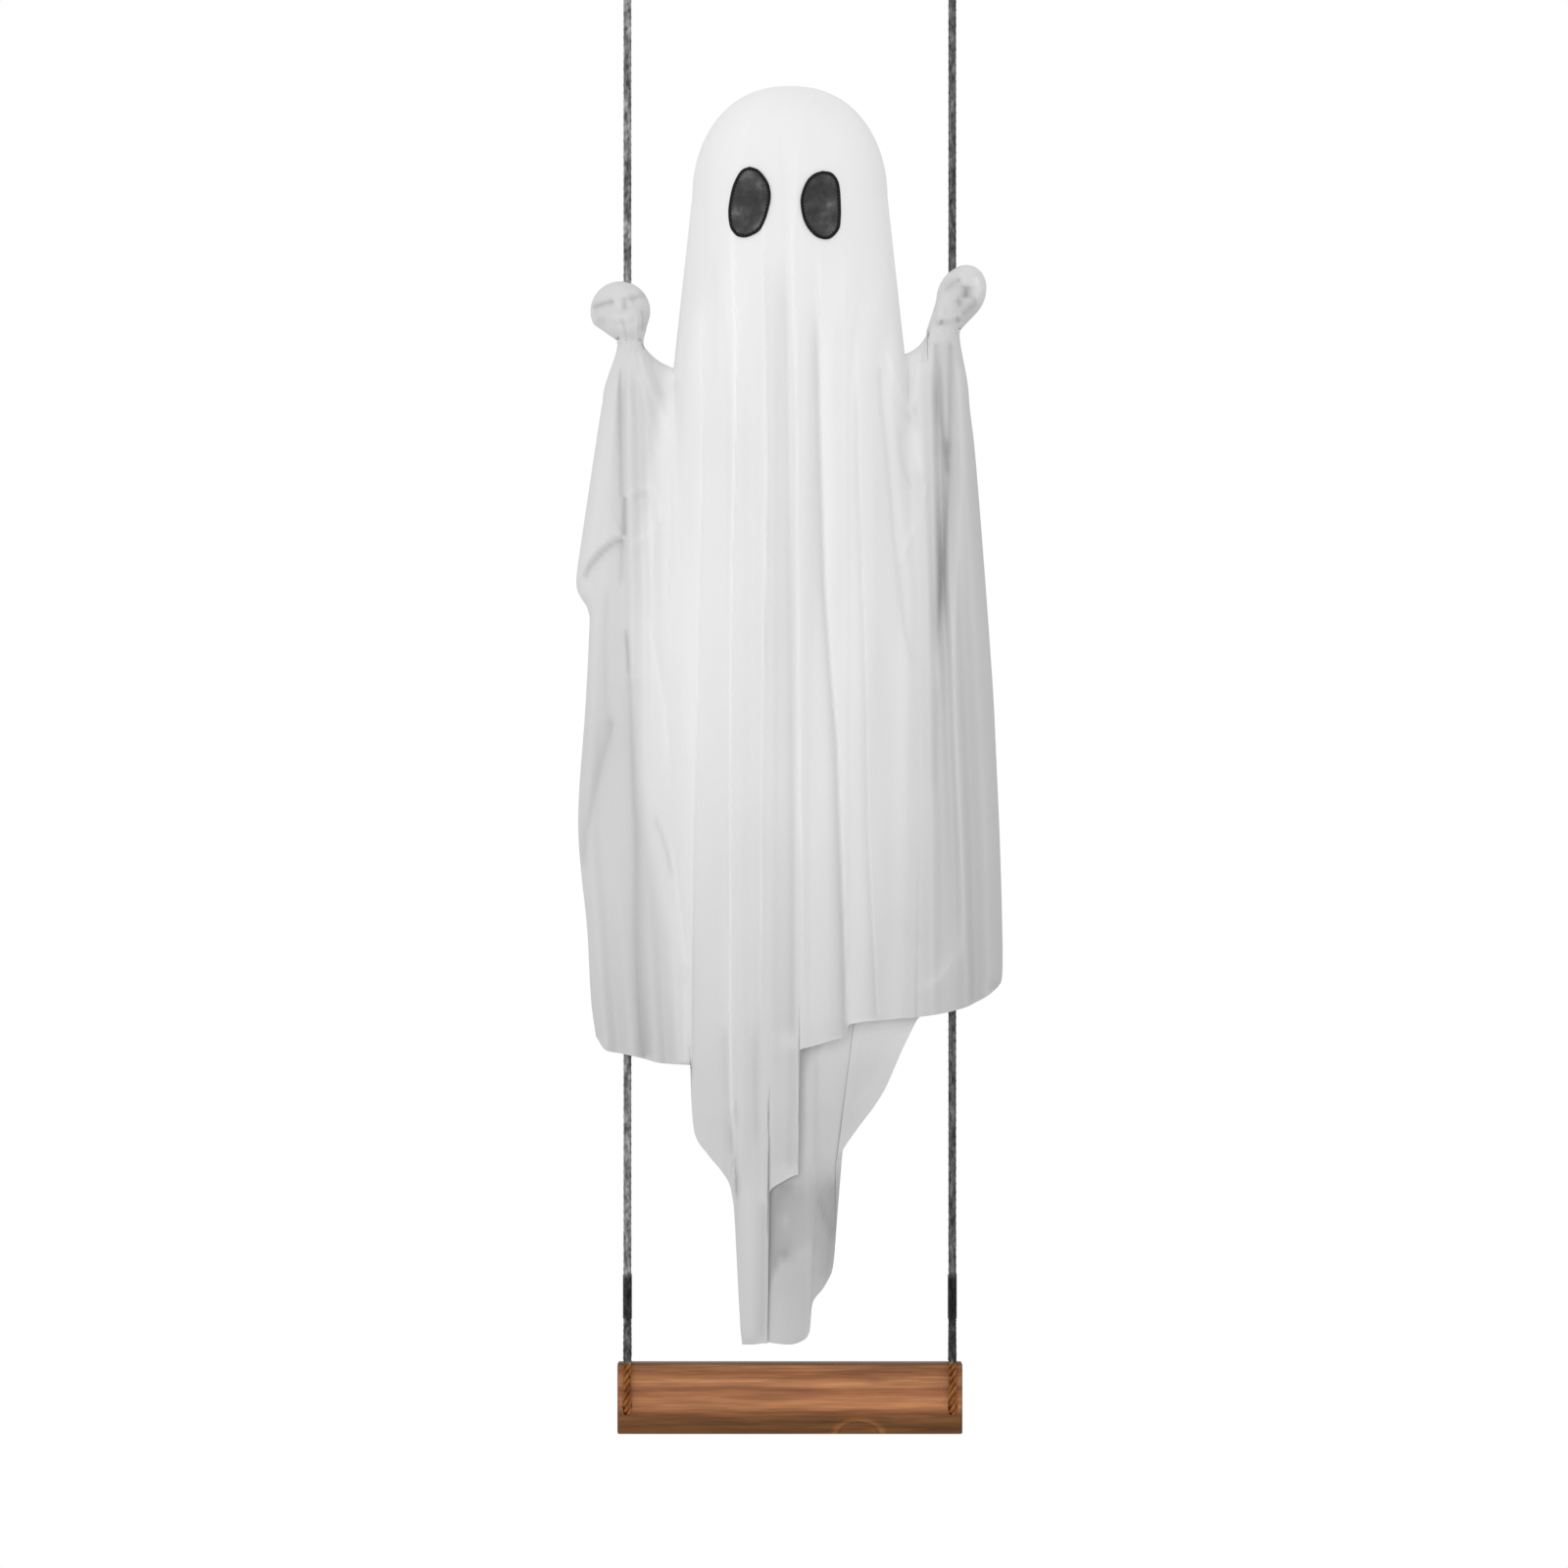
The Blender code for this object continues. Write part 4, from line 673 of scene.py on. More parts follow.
def outline_distance(x, drop):
    best = np.full(x.shape, 1.0)
    for part in OUTLINE_PARTS:
        for a, b in zip(part, part[1:]):
            run = b - a
            t = np.clip(((x - a[0]) * run[0] + (drop - a[1]) * run[1]) / (run @ run), 0, 1)
            best = np.minimum(best, np.hypot(x - a[0] - t * run[0], drop - a[1] - t * run[1]))
    return best


def arm_depth(x, drop):
    depth = np.zeros(x.shape)
    reach = outline_distance(x, drop)
    for hand in (LEFT_HAND, RIGHT_HAND):
        own = x * hand["side"] > 0
        bottom = hand["drop"] + 0.6 * hand["along"]
        wrist_top = hand["wrist_drop"] - TIE_WIDTH
        narrowing = ease((drop - bottom) / (wrist_top - bottom))
        radius = hand["deep"] + (hand["wrist"] - hand["deep"]) * narrowing
        radius = radius + (WING_EDGE - hand["wrist"]) * ease((drop - hand["wrist_drop"]) / (30 * MM))
        inside = np.minimum(reach, radius)
        depth = np.where(own, np.sqrt(inside * (2 * radius - inside)), depth)
    return depth


def body_depth(x, drop):
    notch_half = head_half_width(np.minimum(drop, LEFT_NOTCH_DROP))
    sides = []
    for sign, side in ((-1, BODY_LEFT), (1, BODY_RIGHT)):
        levels = [LEFT_NOTCH_DROP] + [d * MM for d, _ in side]
        start = sign * float(head_half_width(LEFT_NOTCH_DROP))
        low = np.interp(drop, levels, [start] + [x * MM for _, x in side])
        sides.append(np.where(drop <= LEFT_NOTCH_DROP, sign * notch_half, low))
    middle, half = (sides[0] + sides[1]) / 2, np.maximum((sides[1] - sides[0]) / 2, 1e-6)
    t = np.minimum(np.abs(x - middle) / half, 1.0)
    lower = ease((drop - LEFT_NOTCH_DROP) / (200 * MM))
    ratio = HEAD_DEPTH_RATIO + (BODY_DEPTH_RATIO - HEAD_DEPTH_RATIO) * lower
    return ratio * half * (1 - t * t) ** (0.5 + 0.4 * lower)


def half_depth(x, drop, along):
    x, drop = np.asarray(x, float), np.asarray(drop, float)
    body, arm = body_depth(x, drop), arm_depth(x, drop)
    over_head = (along > 2.0) & (along < 3.0)
    over_hand = (along < 1.0) | (along > 4.0)
    notch = np.where(x < 0, LEFT_NOTCH_DROP, RIGHT_NOTCH_DROP)
    arm = np.where(over_head, arm * ease((drop - notch + 10 * MM) / (14 * MM)), arm)
    body = np.where(over_hand, body * ease((drop - LEFT_NOTCH_DROP) / (36 * MM)), body)
    arm = arm * (1 - 0.45 * ease((drop - 860 * MM) / (120 * MM)))
    return (body ** 3 + arm ** 3) ** (1 / 3)

# %% [markdown]
# ### Creases
#
# Cloth that is gathered at a wrist or hangs from a shoulder makes narrow folds. A bump texture
# could draw them, but it would leave the hem straight, so here they move the mesh. A crease is
# a line on the cloth, given by photo pixels from its upper end down. It lifts the cloth by
# `height` and dies away over `left` and `right`, its widths on either side. A small width on
# one side makes the sharp edge of an overlap. A negative height is a furrow. `tone` is painted
# shading: a negative tone darkens the cloth's colour as painted shade in a fold, and a positive
# one lightens it as a painted highlight on a ridge or a hem. A crease with no height only
# paints its tone.

# %% List the creases of the front and the back
# name, line, height, left, right, fade at the start, fade at the end (mm), tone: painted shade where
# negative, painted light where positive
FRONT_CREASES = [
    # left wing
    ("wing crease", [(633, 372), (633.5, 440), (634.6, 507)], -1.6, 1.0, 0.9, 8, 0.5, -0.1),
    ("wing crease, lower", [(637.5, 507), (637.5, 547)], -2.6, 1.2, 0.9, 0.5, 1, -0.18),
    ("flap", [(637, 547), (622, 553), (610, 563), (600, 575), (594, 588), (589, 598)],
     2.8, 9, 1.0, 2, 1, 0),
    ("flap shade", [(637, 550), (624, 556), (612, 567), (602, 579), (596, 592)],
     -1.5, 1.2, 2.4, 2, 2, -0.16),
    ("groove 1", [(635, 551), (635, 575), (634, 602)], -1.2, 1.0, 1.0, 2, 8, -0.08),
    ("groove 2", [(621, 590), (618, 660), (619, 720), (623, 745)], -1.6, 3.5, 3, 25, 8, -0.05),
    ("nick", [(639, 645), (641, 668), (642, 694)], -2.2, 1.2, 0.9, 3, 5, -0.18),
    ("long fold", [(642, 692), (645, 740), (647, 790), (650, 850), (650, 950), (652, 1010), (657, 1078)],
     -2.6, 2.4, 4.5, 6, 0.5, -0.11),
    ("edge fold", [(625, 732), (622, 750), (612, 785), (605, 820), (598, 850), (594, 890)],
     -2.2, 4.5, 2.2, 5, 12, -0.1),
    ("lit fold 1", [(659, 625), (672, 680), (679, 720), (682, 760), (685, 800)], 1.8, 3, 1.6, 12, 20, 0.051),
    ("small diagonal", [(667, 833), (676, 853), (682, 873), (686, 897)], -1.5, 1.1, 0.9, 4, 4, -0.07),
    ("lit fold 2", [(686, 862), (692, 900), (697, 950), (703, 992)], 1.6, 2.2, 1.3, 8, 6, 0.051),
    ("hem fold", [(700, 1000), (701, 1040), (700, 1084)], 1.2, 2.2, 1.5, 10, 0.5, 0.051),
    ("pocket edge", [(637, 507), (645, 502), (656, 498), (667, 499), (673, 507), (675, 520), (674, 536)],
     1.2, 0.9, 1.2, 2, 4, 0.051),
    ("pocket shade", [(646, 507), (655, 505), (662, 506), (660, 525)], -0.6, 2, 2, 2, 6, -0.04),
    ("pale fold", [(673, 536), (656, 548), (640, 563)], 1.2, 1.4, 1.1, 2, 4, 0.051),
    ("small pleat 1", [(668, 541), (667, 570), (666, 602)], 1, 1.0, 1.0, 3, 10, 0.034),
    ("small pleat 2", [(683, 480), (684, 540), (681, 620)], 1.4, 1.6, 1.0, 16, 12, 0.034),
    ("wrist fold 1", [(646, 360), (655, 400), (668, 440), (678, 482)], 1.2, 1.5, 1.3, 6, 15, 0.034),
    ("wrist fold 2", [(651, 358), (664, 395), (680, 435), (692, 464)], 1.2, 1.5, 1.1, 6, 10, 0.051),
    ("wrist fold 3", [(661, 352), (668, 380), (674, 402), (682, 428)], -1.2, 1.8, 1.8, 4, 8, -0.04),
    ("wrist fold 4", [(639, 356), (643, 400), (648, 455)], 0.9, 1.4, 1.4, 5, 20, 0.01),
    ("under the neck", [(692, 388), (683, 402), (671, 406)], -0.8, 4, 4, 3, 4, -0.05),
    # body
    ("neck fold", [(698, 340), (694, 420), (691, 480)], -0.9, 1.0, 2.5, 20, 25, -0.02),
    ("pleat 1", [(716, 290), (718, 420), (717, 500), (714, 600), (712, 720), (708, 850), (706, 1000),
                 (705, 1086)], 2.4, 9, 1.1, 45, 0.5, 0.06),
    ("pleat 2", [(747, 200), (752, 350), (751, 450), (747, 600), (746, 700), (746, 800), (746, 900),
                 (745, 1000), (745, 1100), (746, 1160)],
     2.8, 1.9, 1.1, 60, 20, 0.13),
    ("pleat 3", [(779, 200), (782, 350), (783, 500), (781, 600), (779, 700),
                 (778, 850), (777, 950), (776, 1045)],
     2.6, 1.9, 1.0, 60, 25, 0.09),
    ("valley 4", [(800, 240), (802, 420), (805, 600), (807, 750), (808, 900), (808, 1060)],
     -2.2, 8, 1.6, 60, 10, -0.1),
    ("pleat 4", [(808, 200), (810, 340), (814, 450), (815, 600), (816, 750), (817, 905)],
     2.6, 1.4, 2.2, 60, 50, 0.09),
    ("panel edge", [(818, 820), (818, 950), (817, 1074)], 2.4, 0.9, 8, 35, 0.3, 0.05),
    ("pleat 5", [(835, 240), (837, 340), (838, 420), (840, 500), (843, 600), (851, 700), (856, 760),
                 (859, 850), (863, 950), (866, 1046)], 3.0, 0.9, 9, 50, 0.3, 0.07),
    ("pleat 5 shade", [(832, 300), (834, 420), (836, 500), (839, 600), (847, 700), (852, 760),
                       (855, 850), (859, 950), (862, 1058)], -0.8, 3.6, 0.9, 50, 0.5, -0.17),
    ("pleat 6", [(875, 340), (876, 400), (878, 500), (881, 600), (885, 700), (887, 850), (892, 950),
                 (897, 1042)], 2.2, 0.9, 5, 35, 6, 0.02),
    ("pleat 6 shade", [(873, 380), (875, 500), (878, 600), (882, 700), (884, 850), (889, 950),
                       (894, 1042)], 0, 2.6, 0.8, 35, 6, -0.1),
    ("body side", [(897, 376), (899, 410), (903, 450), (908, 500), (912, 550), (917, 590), (922, 640),
                   (932, 680), (946, 698)], -1.5, 1.6, 2.4, 5, 45, -0.075),
    # painted highlights along the hems, with no relief
    ("panel hem rim", [(817, 1072.5), (840, 1065.5), (863, 1057.5)], 0, 1.2, 0.9, 0.5, 0.5, 0.07),
    ("side hem rim", [(868, 1042.5), (900, 1042), (934, 1039.5)], 0, 1.2, 0.9, 1, 1, 0.07),
    ("brow 1", [(796, 130), (799, 200), (800, 260)], -0.5, 2.5, 2.0, 25, 20, -0.03),
    ("brow 2", [(812, 140), (812, 190), (812, 250)], 0.5, 2.0, 1.5, 25, 20, 0.02),
    ("brow 3", [(729, 250), (731, 330), (731, 420)], -0.5, 3, 2, 25, 40, -0.03),
    ("brow 4", [(862, 250), (861, 330), (860, 420)], 0.5, 4, 3, 25, 40, 0.03),
    # right wing
    ("V left ridge", [(903, 356), (911, 380), (918, 402), (924, 420)], 1, 1.4, 1.4, 3, 4, 0.034),
    ("V", [(925, 364), (926, 390), (926, 413)], -1.2, 1.5, 1.1, 2, 4, -0.06),
    ("V right ridge", [(938, 368), (935, 395), (929, 419)], 1.2, 1.4, 1.3, 2, 4, 0.051),
    ("V tick", [(935, 418), (928, 426), (920, 434)], -1, 0.9, 1.0, 1, 2, -0.07),
    ("lobe side", [(918, 437), (918, 460), (922, 480), (931, 502)], -1.1, 0.9, 1.5, 2, 5, -0.06),
    ("lobe", [(933, 436), (936, 465), (940, 490)], 1.4, 4.5, 3.5, 8, 8, 0.068),
    ("lobe edge", [(946, 494), (939, 524), (928, 552), (916, 582)], 1.3, 1.4, 1.1, 3, 6, 0.051),
    ("deep fold, top", [(954, 348), (957, 380), (957, 412), (962, 450), (966, 484)],
     -2.4, 1.8, 3.0, 4, 4, -0.112),
    ("deep fold, side", [(970, 346), (970, 380), (970, 420), (968, 470)], -2.2, 3.0, 1.8, 4, 10, -0.128),
    ("deep fold", [(965, 440), (967, 485), (966, 510), (963, 560), (961, 600), (958, 645), (957, 694)],
     -3.4, 3.6, 3.0, 14, 60, -0.2),
    ("light strip", [(979, 365), (980, 480), (978, 560), (974, 640), (972, 720), (976, 800), (981, 880),
                     (983, 930), (977, 970), (958, 1000), (930, 1012)], 1.8, 3.5, 3.5, 15, 15, 0.068),
    ("soft fold", [(958, 690), (956, 760), (955, 825)], -1.3, 3.5, 3, 12, 25, -0.03),
    ("swag hollow", [(908, 925), (925, 950), (945, 965)], -1, 8, 8, 10, 8, -0.02),
    # tail
    ("tail line", [(745, 1040), (747, 1100), (749, 1160), (750, 1200)], 1.6, 1.1, 3, 15, 10, 0.034),
    ("tail line shade", [(741, 1040), (742, 1110), (747, 1180)], -0.8, 3, 0.9, 15, 6, -0.068),
    ("tail groove 1", [(770, 1040), (770, 1100), (771, 1175)], -1.4, 2, 2.2, 15, 15, -0.068),
    ("tail groove 2", [(808, 1062), (808, 1120), (806, 1192)], -1.8, 6, 4, 12, 4, -0.07),
    ("tail column", [(764, 1190), (765, 1280), (766, 1370)], 1.8, 6, 4, 20, 0.3, 0.034),
    ("tail column shade", [(779, 1226), (779, 1300), (777, 1370)], -0.8, 3.5, 3, 6, 0.3, -0.10),
    ("tail arc rim", [(776, 1221), (785, 1211.5), (797, 1203.5), (811, 1199.5)], 0, 0.9, 1.4, 0.5, 0.5, 0.04),
    # fists
    ("left fist band", [(605, 314), (616, 311), (628, 308)], -1.3, 2.0, 1.6, 0.5, 2, -0.24),
    ("left fist band, right", [(643, 308), (650, 304), (658, 301)], -1.05, 1.5, 1.4, 1, 0.5, -0.144),
    ("left fist dimple", [(638, 304), (638, 319)], -1.35, 1.2, 1.2, 1, 2, -0.192),
    ("left fist crease", [(655, 317), (657, 328), (655, 340)], -1.35, 1.2, 1.2, 1, 3, -0.144),
    ("left fist low", [(608, 329), (618, 326)], -0.75, 2.0, 2.0, 0.5, 1, -0.08),
    ("left gather 1", [(628, 322), (634, 336), (637, 350)], 1.2, 1.0, 1.0, 3, 2, 0.032),
    ("left gather 2", [(640, 322), (642, 336), (643, 352)], 1.2, 1.0, 0.8, 3, 2, 0.032),
    ("left gather 3", [(650, 320), (650, 336), (649, 352)], 1.2, 0.9, 0.9, 3, 2, 0.032),
    ("left gather shade", [(634, 326), (639, 340), (640, 352)], -0.9, 0.9, 0.9, 2, 2, -0.08),
    ("right fist hollow 1", [(986, 292), (985, 305)], -1.8, 2.8, 2.8, 1, 1, -0.35),
    ("right fist hollow 2", [(964, 297), (972, 290), (980, 286)], -1.2, 2.8, 2.8, 1, 1, -0.19),
    ("right fist hollow 3", [(976, 305), (980, 313)], -1.35, 2.2, 2.2, 1, 1, -0.23),
    ("right fist spot 1", [(960, 327), (960.5, 333)], -1.5, 1.6, 1.6, 0.5, 0.5, -0.32),
    ("right fist spot 2", [(976.5, 324), (978, 330)], -1.2, 1.4, 1.4, 0.5, 0.5, -0.23),
    ("right fist under", [(997, 309), (989, 315), (981, 322)], 0, 2.4, 2.4, 1, 1, -0.16),
    ("right fist light", [(996, 284), (999, 296), (995, 306)], 1.2, 2.0, 2.0, 1, 1, 0.16),
    ("right wrist fold 1", [(945, 338), (943, 356), (940, 376)], -1.1, 1.5, 1.5, 3, 6, -0.06),
    ("right wrist fold 2", [(951, 336), (951, 356), (950, 380)], 0.9, 1.1, 1.1, 3, 6, 0.04),
]
BACK_CREASES = [
    # the inner side of the back is seen from the front below the hem: here a negative height
    # comes towards the camera. A negative tone is painted shade, a positive one painted light.
    ("inner panel", [(828, 1268), (817, 1277), (803, 1287), (793, 1293), (788, 1307), (786, 1320),
                     (785, 1347), (782, 1371)], -3, 0.9, 16, 2, 0.3, 0.06),
    ("pocket", [(806, 1206), (794, 1222), (786, 1250), (784, 1285)], 1.5, 8, 10, 2, 6, -0.08),
    ("pocket arc", [(816, 1203), (799, 1209), (787, 1217), (778, 1228)], 0, 2.0, 2.4, 1, 2, -0.09),
    ("pocket light", [(800, 1236), (802, 1246)], -1, 3.0, 3.0, 1, 1, 0.07),
    ("pocket low", [(812, 1272), (796, 1283), (784, 1302), (780, 1340), (778, 1370)],
     0, 5.0, 1.0, 2, 1, -0.1),
    ("lobe curve", [(833, 1221), (838, 1234), (843, 1246), (849, 1266)], 0.9, 0.9, 3.0, 2, 4, -0.1),
    ("lobe dark", [(848, 1200), (851, 1250), (842, 1308)], 0, 5, 6, 6, 6, -0.09),
    ("tail seam", [(833, 1085), (833, 1140), (831, 1195)], -0.8, 1.0, 1.6, 6, 8, -0.06),
    ("tail strip", [(822, 1085), (823, 1150), (824, 1250), (824, 1330)], -1.6, 3, 3, 8, 15, 0.03),
    ("hem shade", [(815, 1079), (828, 1076), (842, 1071)], 0, 1.0, 1.2, 0.5, 6, -0.09),
    ("triangle fold", [(868, 1130), (878, 1122), (890, 1108)], -0.8, 1.0, 1.6, 3, 3, 0.03),
    ("triangle fold 2", [(853, 1180), (858, 1168), (872, 1148)], -0.8, 1.0, 1.6, 3, 3, 0.02),
    # folds down the back
    ("back pleat 1", [(700, 420), (705, 700), (715, 1000)], 4, 8, 3, 80, 60, 0),
    ("back pleat 2", [(735, 400), (742, 700), (748, 1150)], -3, 5, 7, 80, 60, -0.03),
    ("back pleat 3", [(772, 360), (778, 700), (782, 1160)], 3.2, 3, 8, 80, 60, 0),
    ("back pleat 4", [(812, 380), (820, 700), (818, 1060)], -3.5, 7, 4, 80, 60, -0.03),
    ("back pleat 5", [(850, 400), (862, 700), (866, 1000)], 4, 10, 3, 80, 50, 0),
    ("back pleat 6", [(890, 420), (900, 700), (905, 960)], -2.6, 5, 8, 70, 50, -0.03),
    ("back pleat 7", [(925, 440), (935, 700), (940, 980)], 2.4, 6, 2.5, 60, 40, 0),
    ("back wing 1", [(640, 380), (628, 620), (638, 1030)], 3, 3, 8, 40, 40, 0),
    ("back wing 2", [(668, 400), (662, 700), (672, 1040)], -2.6, 5, 6, 50, 40, -0.03),
    ("back wing 3", [(962, 370), (980, 700), (985, 980)], 3, 8, 3, 40, 50, 0),
    ("back wing 4", [(985, 400), (1002, 700), (1005, 960)], -2.2, 5, 5, 50, 50, -0.03),
]
print(len(FRONT_CREASES) + len(BACK_CREASES), "creases")

# %% Work out the relief of the creases
CREASE_SOFTNESS = 0.4 * MM          # radius of the ridge on each crease
RIPPLE_WAVES = 9


def relief(x, drop, creases):
    """Height and painted shading that the creases add at each place."""
    height_sum, painted_shading_sum = np.zeros(x.shape), np.zeros(x.shape)
    for _, line, height, left, right, fade_in, fade_out, tone in creases:
        line = [photo(*p) for p in line]
        reach = 6 * max(left, right) * MM
        low, high = np.min(line, axis=0) - reach, np.max(line, axis=0) + reach
        near = (x > low[0]) & (x < high[0]) & (drop > low[1]) & (drop < high[1])
        px, pd = x[near], drop[near]
        nearest, where = np.full(px.shape, 1.0), np.zeros(px.shape)
        on_left = np.zeros(px.shape, bool)
        done = 0.0
        for a, b in zip(line, line[1:]):
            length = float(np.hypot(*(b - a)))
            run = (b - a) / length
            t = np.clip((px - a[0]) * run[0] + (pd - a[1]) * run[1], 0, length)
            ox, od = px - a[0] - t * run[0], pd - a[1] - t * run[1]
            away = np.hypot(ox, od)
            closer = away < nearest
            nearest = np.where(closer, away, nearest)
            where = np.where(closer, done + t, where)
            on_left = np.where(closer, run[0] * od - run[1] * ox > 0, on_left)
            done += length
        width = np.where(on_left, left, right) * MM
        rounded = np.sqrt(nearest ** 2 + CREASE_SOFTNESS ** 2)
        profile = np.exp((CREASE_SOFTNESS - rounded) / width)
        profile *= ease(where / (fade_in * MM)) * ease((done - where) / (fade_out * MM))
        height_sum[near] += height * MM * profile
        painted_shading_sum[near] += tone * profile
    return height_sum, painted_shading_sum


def ripple(x, drop, size, seed, stretch=1.0):
    """Soft unevenness of about 1, from a few waves in fixed directions."""
    rng = np.random.default_rng(seed)
    total = np.zeros(x.shape)
    for _ in range(RIPPLE_WAVES):
        angle, phase, pace = rng.uniform(0, math.pi), rng.uniform(0, 6.28), rng.uniform(0.7, 1.5)
        total += np.sin(2 * math.pi * pace * (x * math.cos(angle) + drop * stretch * math.sin(angle))
                        / size + phase)
    return total / 3

# %% [markdown]
# ### Painted shade on the cloth
#
# The middle of the cloth grows darker towards the hem, the wings are darker than the body and
# the inside of the back is darker still, as less light reaches them. This shade is painted into
# the cloth's colour: each point of the mesh gets a tone by its place. Thin cloth could be made
# see-through, but then the hidden frame would need the same care as the outside. The lists
# below are short: a height in photo pixels, and the tone or the share there.

# %% Set the painted shade of the cloth
# painted shade as (photo row, tone): darker down the middle towards the hem, and inside the back, most of all
# in the pocket of the tail
MIDDLE_PAINTED_SHADE = [(90, 1.0), (330, 0.99), (500, 0.96), (800, 0.91), (1090, 0.75), (1370, 0.70)]
BACK_PAINTED_SHADE = [(90, 1.0), (330, 0.98), (700, 0.93), (1030, 0.90), (1090, 0.75), (1180, 0.70),
             (1215, 0.54), (1290, 0.56), (1370, 0.66)]
LEFT_WING_SHADE = [(300, 0.19), (400, 0.17), (600, 0.13), (760, 0.17), (900, 0.10), (1080, 0.08)]
RIGHT_WING_SHADE = [(250, 0.10), (330, 0.30), (500, 0.34), (900, 0.27), (1040, 0.22)]
RIGHT_WING_START, RIGHT_WING_FADE, LEFT_WING_FADE = 900, 95, 18
# the line where the left wing starts
LEFT_WING_LINE = [(376, 690), (415, 684), (470, 674), (540, 664), (650, 656), (720, 657), (800, 662),
                  (860, 670), (900, 678), (960, 690), (1090, 702)]


def at_height(py, stops):
    return np.interp(py, *np.array(stops, float).T)


def front_painted_shading(x, drop):
    px, py = pixels(x, drop)
    tone = at_height(py, MIDDLE_PAINTED_SHADE)
    left = ease((at_height(py, LEFT_WING_LINE) - px) / LEFT_WING_FADE)
    tone *= 1 - at_height(py, LEFT_WING_SHADE) * left
    tone *= 1 - at_height(py, RIGHT_WING_SHADE) * ease((px - RIGHT_WING_START) / RIGHT_WING_FADE)
    # painted light: from row 330 to row 640 the cloth is made a little lighter, most of all in a band between
    # columns 842 and 888
    pale = ease((py - 330) / 90) * (1 - ease((py - 640) / 160))
    tone += pale * (0.025 * ease((px - 842) / 8) * (1 - ease((px - 888) / 8)) + 0.012)
    return tone


def back_painted_shade(x, drop):
    px, py = pixels(x, drop)
    # painted shade, with more of it at the sides of the back
    return at_height(py, BACK_PAINTED_SHADE) * (1 - 0.1 * ease((np.abs(px - PHOTO_MIDDLE_X) - 120) / 60))

# %% [markdown]
# ### Columns
#
# Each column is a list of places from the top edge to the hem. A plain grid could be bent into
# shape, but it would waste points where the cloth is flat. Here the columns are closer where
# the folds are narrow. Front and back use the same columns and share the top edge.

# %% Lay out the columns of the cloth
ROWS_TOP, ROWS_NECK, ROWS_HEM = 38, 12, 34
LEVELS = np.concatenate([np.arange(385, 440, 6.0), np.arange(440, 532, 3.0),
                         np.arange(532, 786, 7.0)]) * MM
COLUMN_WIDTH = 1.0 * MM
EDGE_PULL = 9 * MM                  # how far the outline's shape reaches into the cloth


def ridge_point(along):
    part = min(int(along), 4)
    points = RIDGE[part]
    where = (along - part) * (len(points) - 1)
    index = min(int(where), len(points) - 2)
    return points[index] * (1 - where + index) + points[index + 1] * (where - index)


def round_between(where, places, values):
    """Like a straight line from value to value, but with rounded corners and no overshoot."""
    steps = np.diff(places)
    slopes = np.diff(values) / steps
    before, after = slopes[:-1], slopes[1:]
    same = before * after > 0
    middle = np.where(same, 2 * before * after / np.where(same, before + after, 1), 0)
    lean = np.concatenate([slopes[:1], middle, slopes[-1:]])
    i = int(np.clip(np.searchsorted(places, where) - 1, 0, len(steps) - 1))
    t, h = (where - places[i]) / steps[i], steps[i]
    return ((1 + 2 * t) * (1 - t) ** 2 * values[i] + t * (1 - t) ** 2 * h * lean[i]
            + t * t * (3 - 2 * t) * values[i + 1] + t * t * (t - 1) * h * lean[i + 1])


def fold_values(folds, along):
    """x at four levels and the hem's drop at one place, and the crests there."""
    table = np.array(folds, float)
    row = [np.interp(along, table[:, 0], table[:, k]) for k in range(1, 4)]
    row += [round_between(along, table[:, 0], table[:, k]) for k in (4, 5)]
    i = int(np.clip(np.searchsorted(table[:, 0], along) - 1, 0, len(table) - 2))
    t = ease((along - table[i, 0]) / (table[i + 1, 0] - table[i, 0]))
    return np.array(row) * MM, (table[i, 6:9] + (table[i + 1, 6:9] - table[i, 6:9]) * t) * MM


def path_x(values, drops):
    return np.interp(drops, [SHOULDER_DROP, WAIST_DROP, SKIRT_DROP, values[4]], values[:4])


def hand_top(hand, share, top, steps):
    """Down over a hand into its wrist, and the point just below the wrist."""
    wx, wd = wrist_centre(hand)
    wrist_x = wx + hand["side"] * hand["wrist"] * (1 - 2 * share) * 0.97
    neck = np.array([wrist_x, max(wd - TIE_WIDTH, top[1] + 1.5 * MM)])
    pull = hand["gather"]
    bend = (1 - pull) * top + pull * np.array([wx + hand["side"] * MM, wd - 10 * MM])
    v = steps ** 1.25
    upper = (1 - v) ** 2 * top + 2 * v * (1 - v) * bend + v * v * neck
    return np.concatenate([upper, neck[None]]), np.array([wrist_x, wd])


def head_top(top, shoulder_x, steps):
    """Down from the head or a valley, and the point where the shoulder starts."""
    def flare(d):
        t = (d - top[1]) / (SHOULDER_DROP - top[1])
        return top[0] + (shoulder_x - top[0]) * (1 - (1 - t) ** 2)

    neck_drop = max(wrist_centre(LEFT_HAND)[1], top[1] + 5 * MM)
    drops = top[1] + (neck_drop - top[1]) * (1 - np.cos(math.pi / 2 * steps[:, 0]))
    return np.stack([flare(drops), drops], axis=1), np.array([flare(neck_drop), neck_drop])


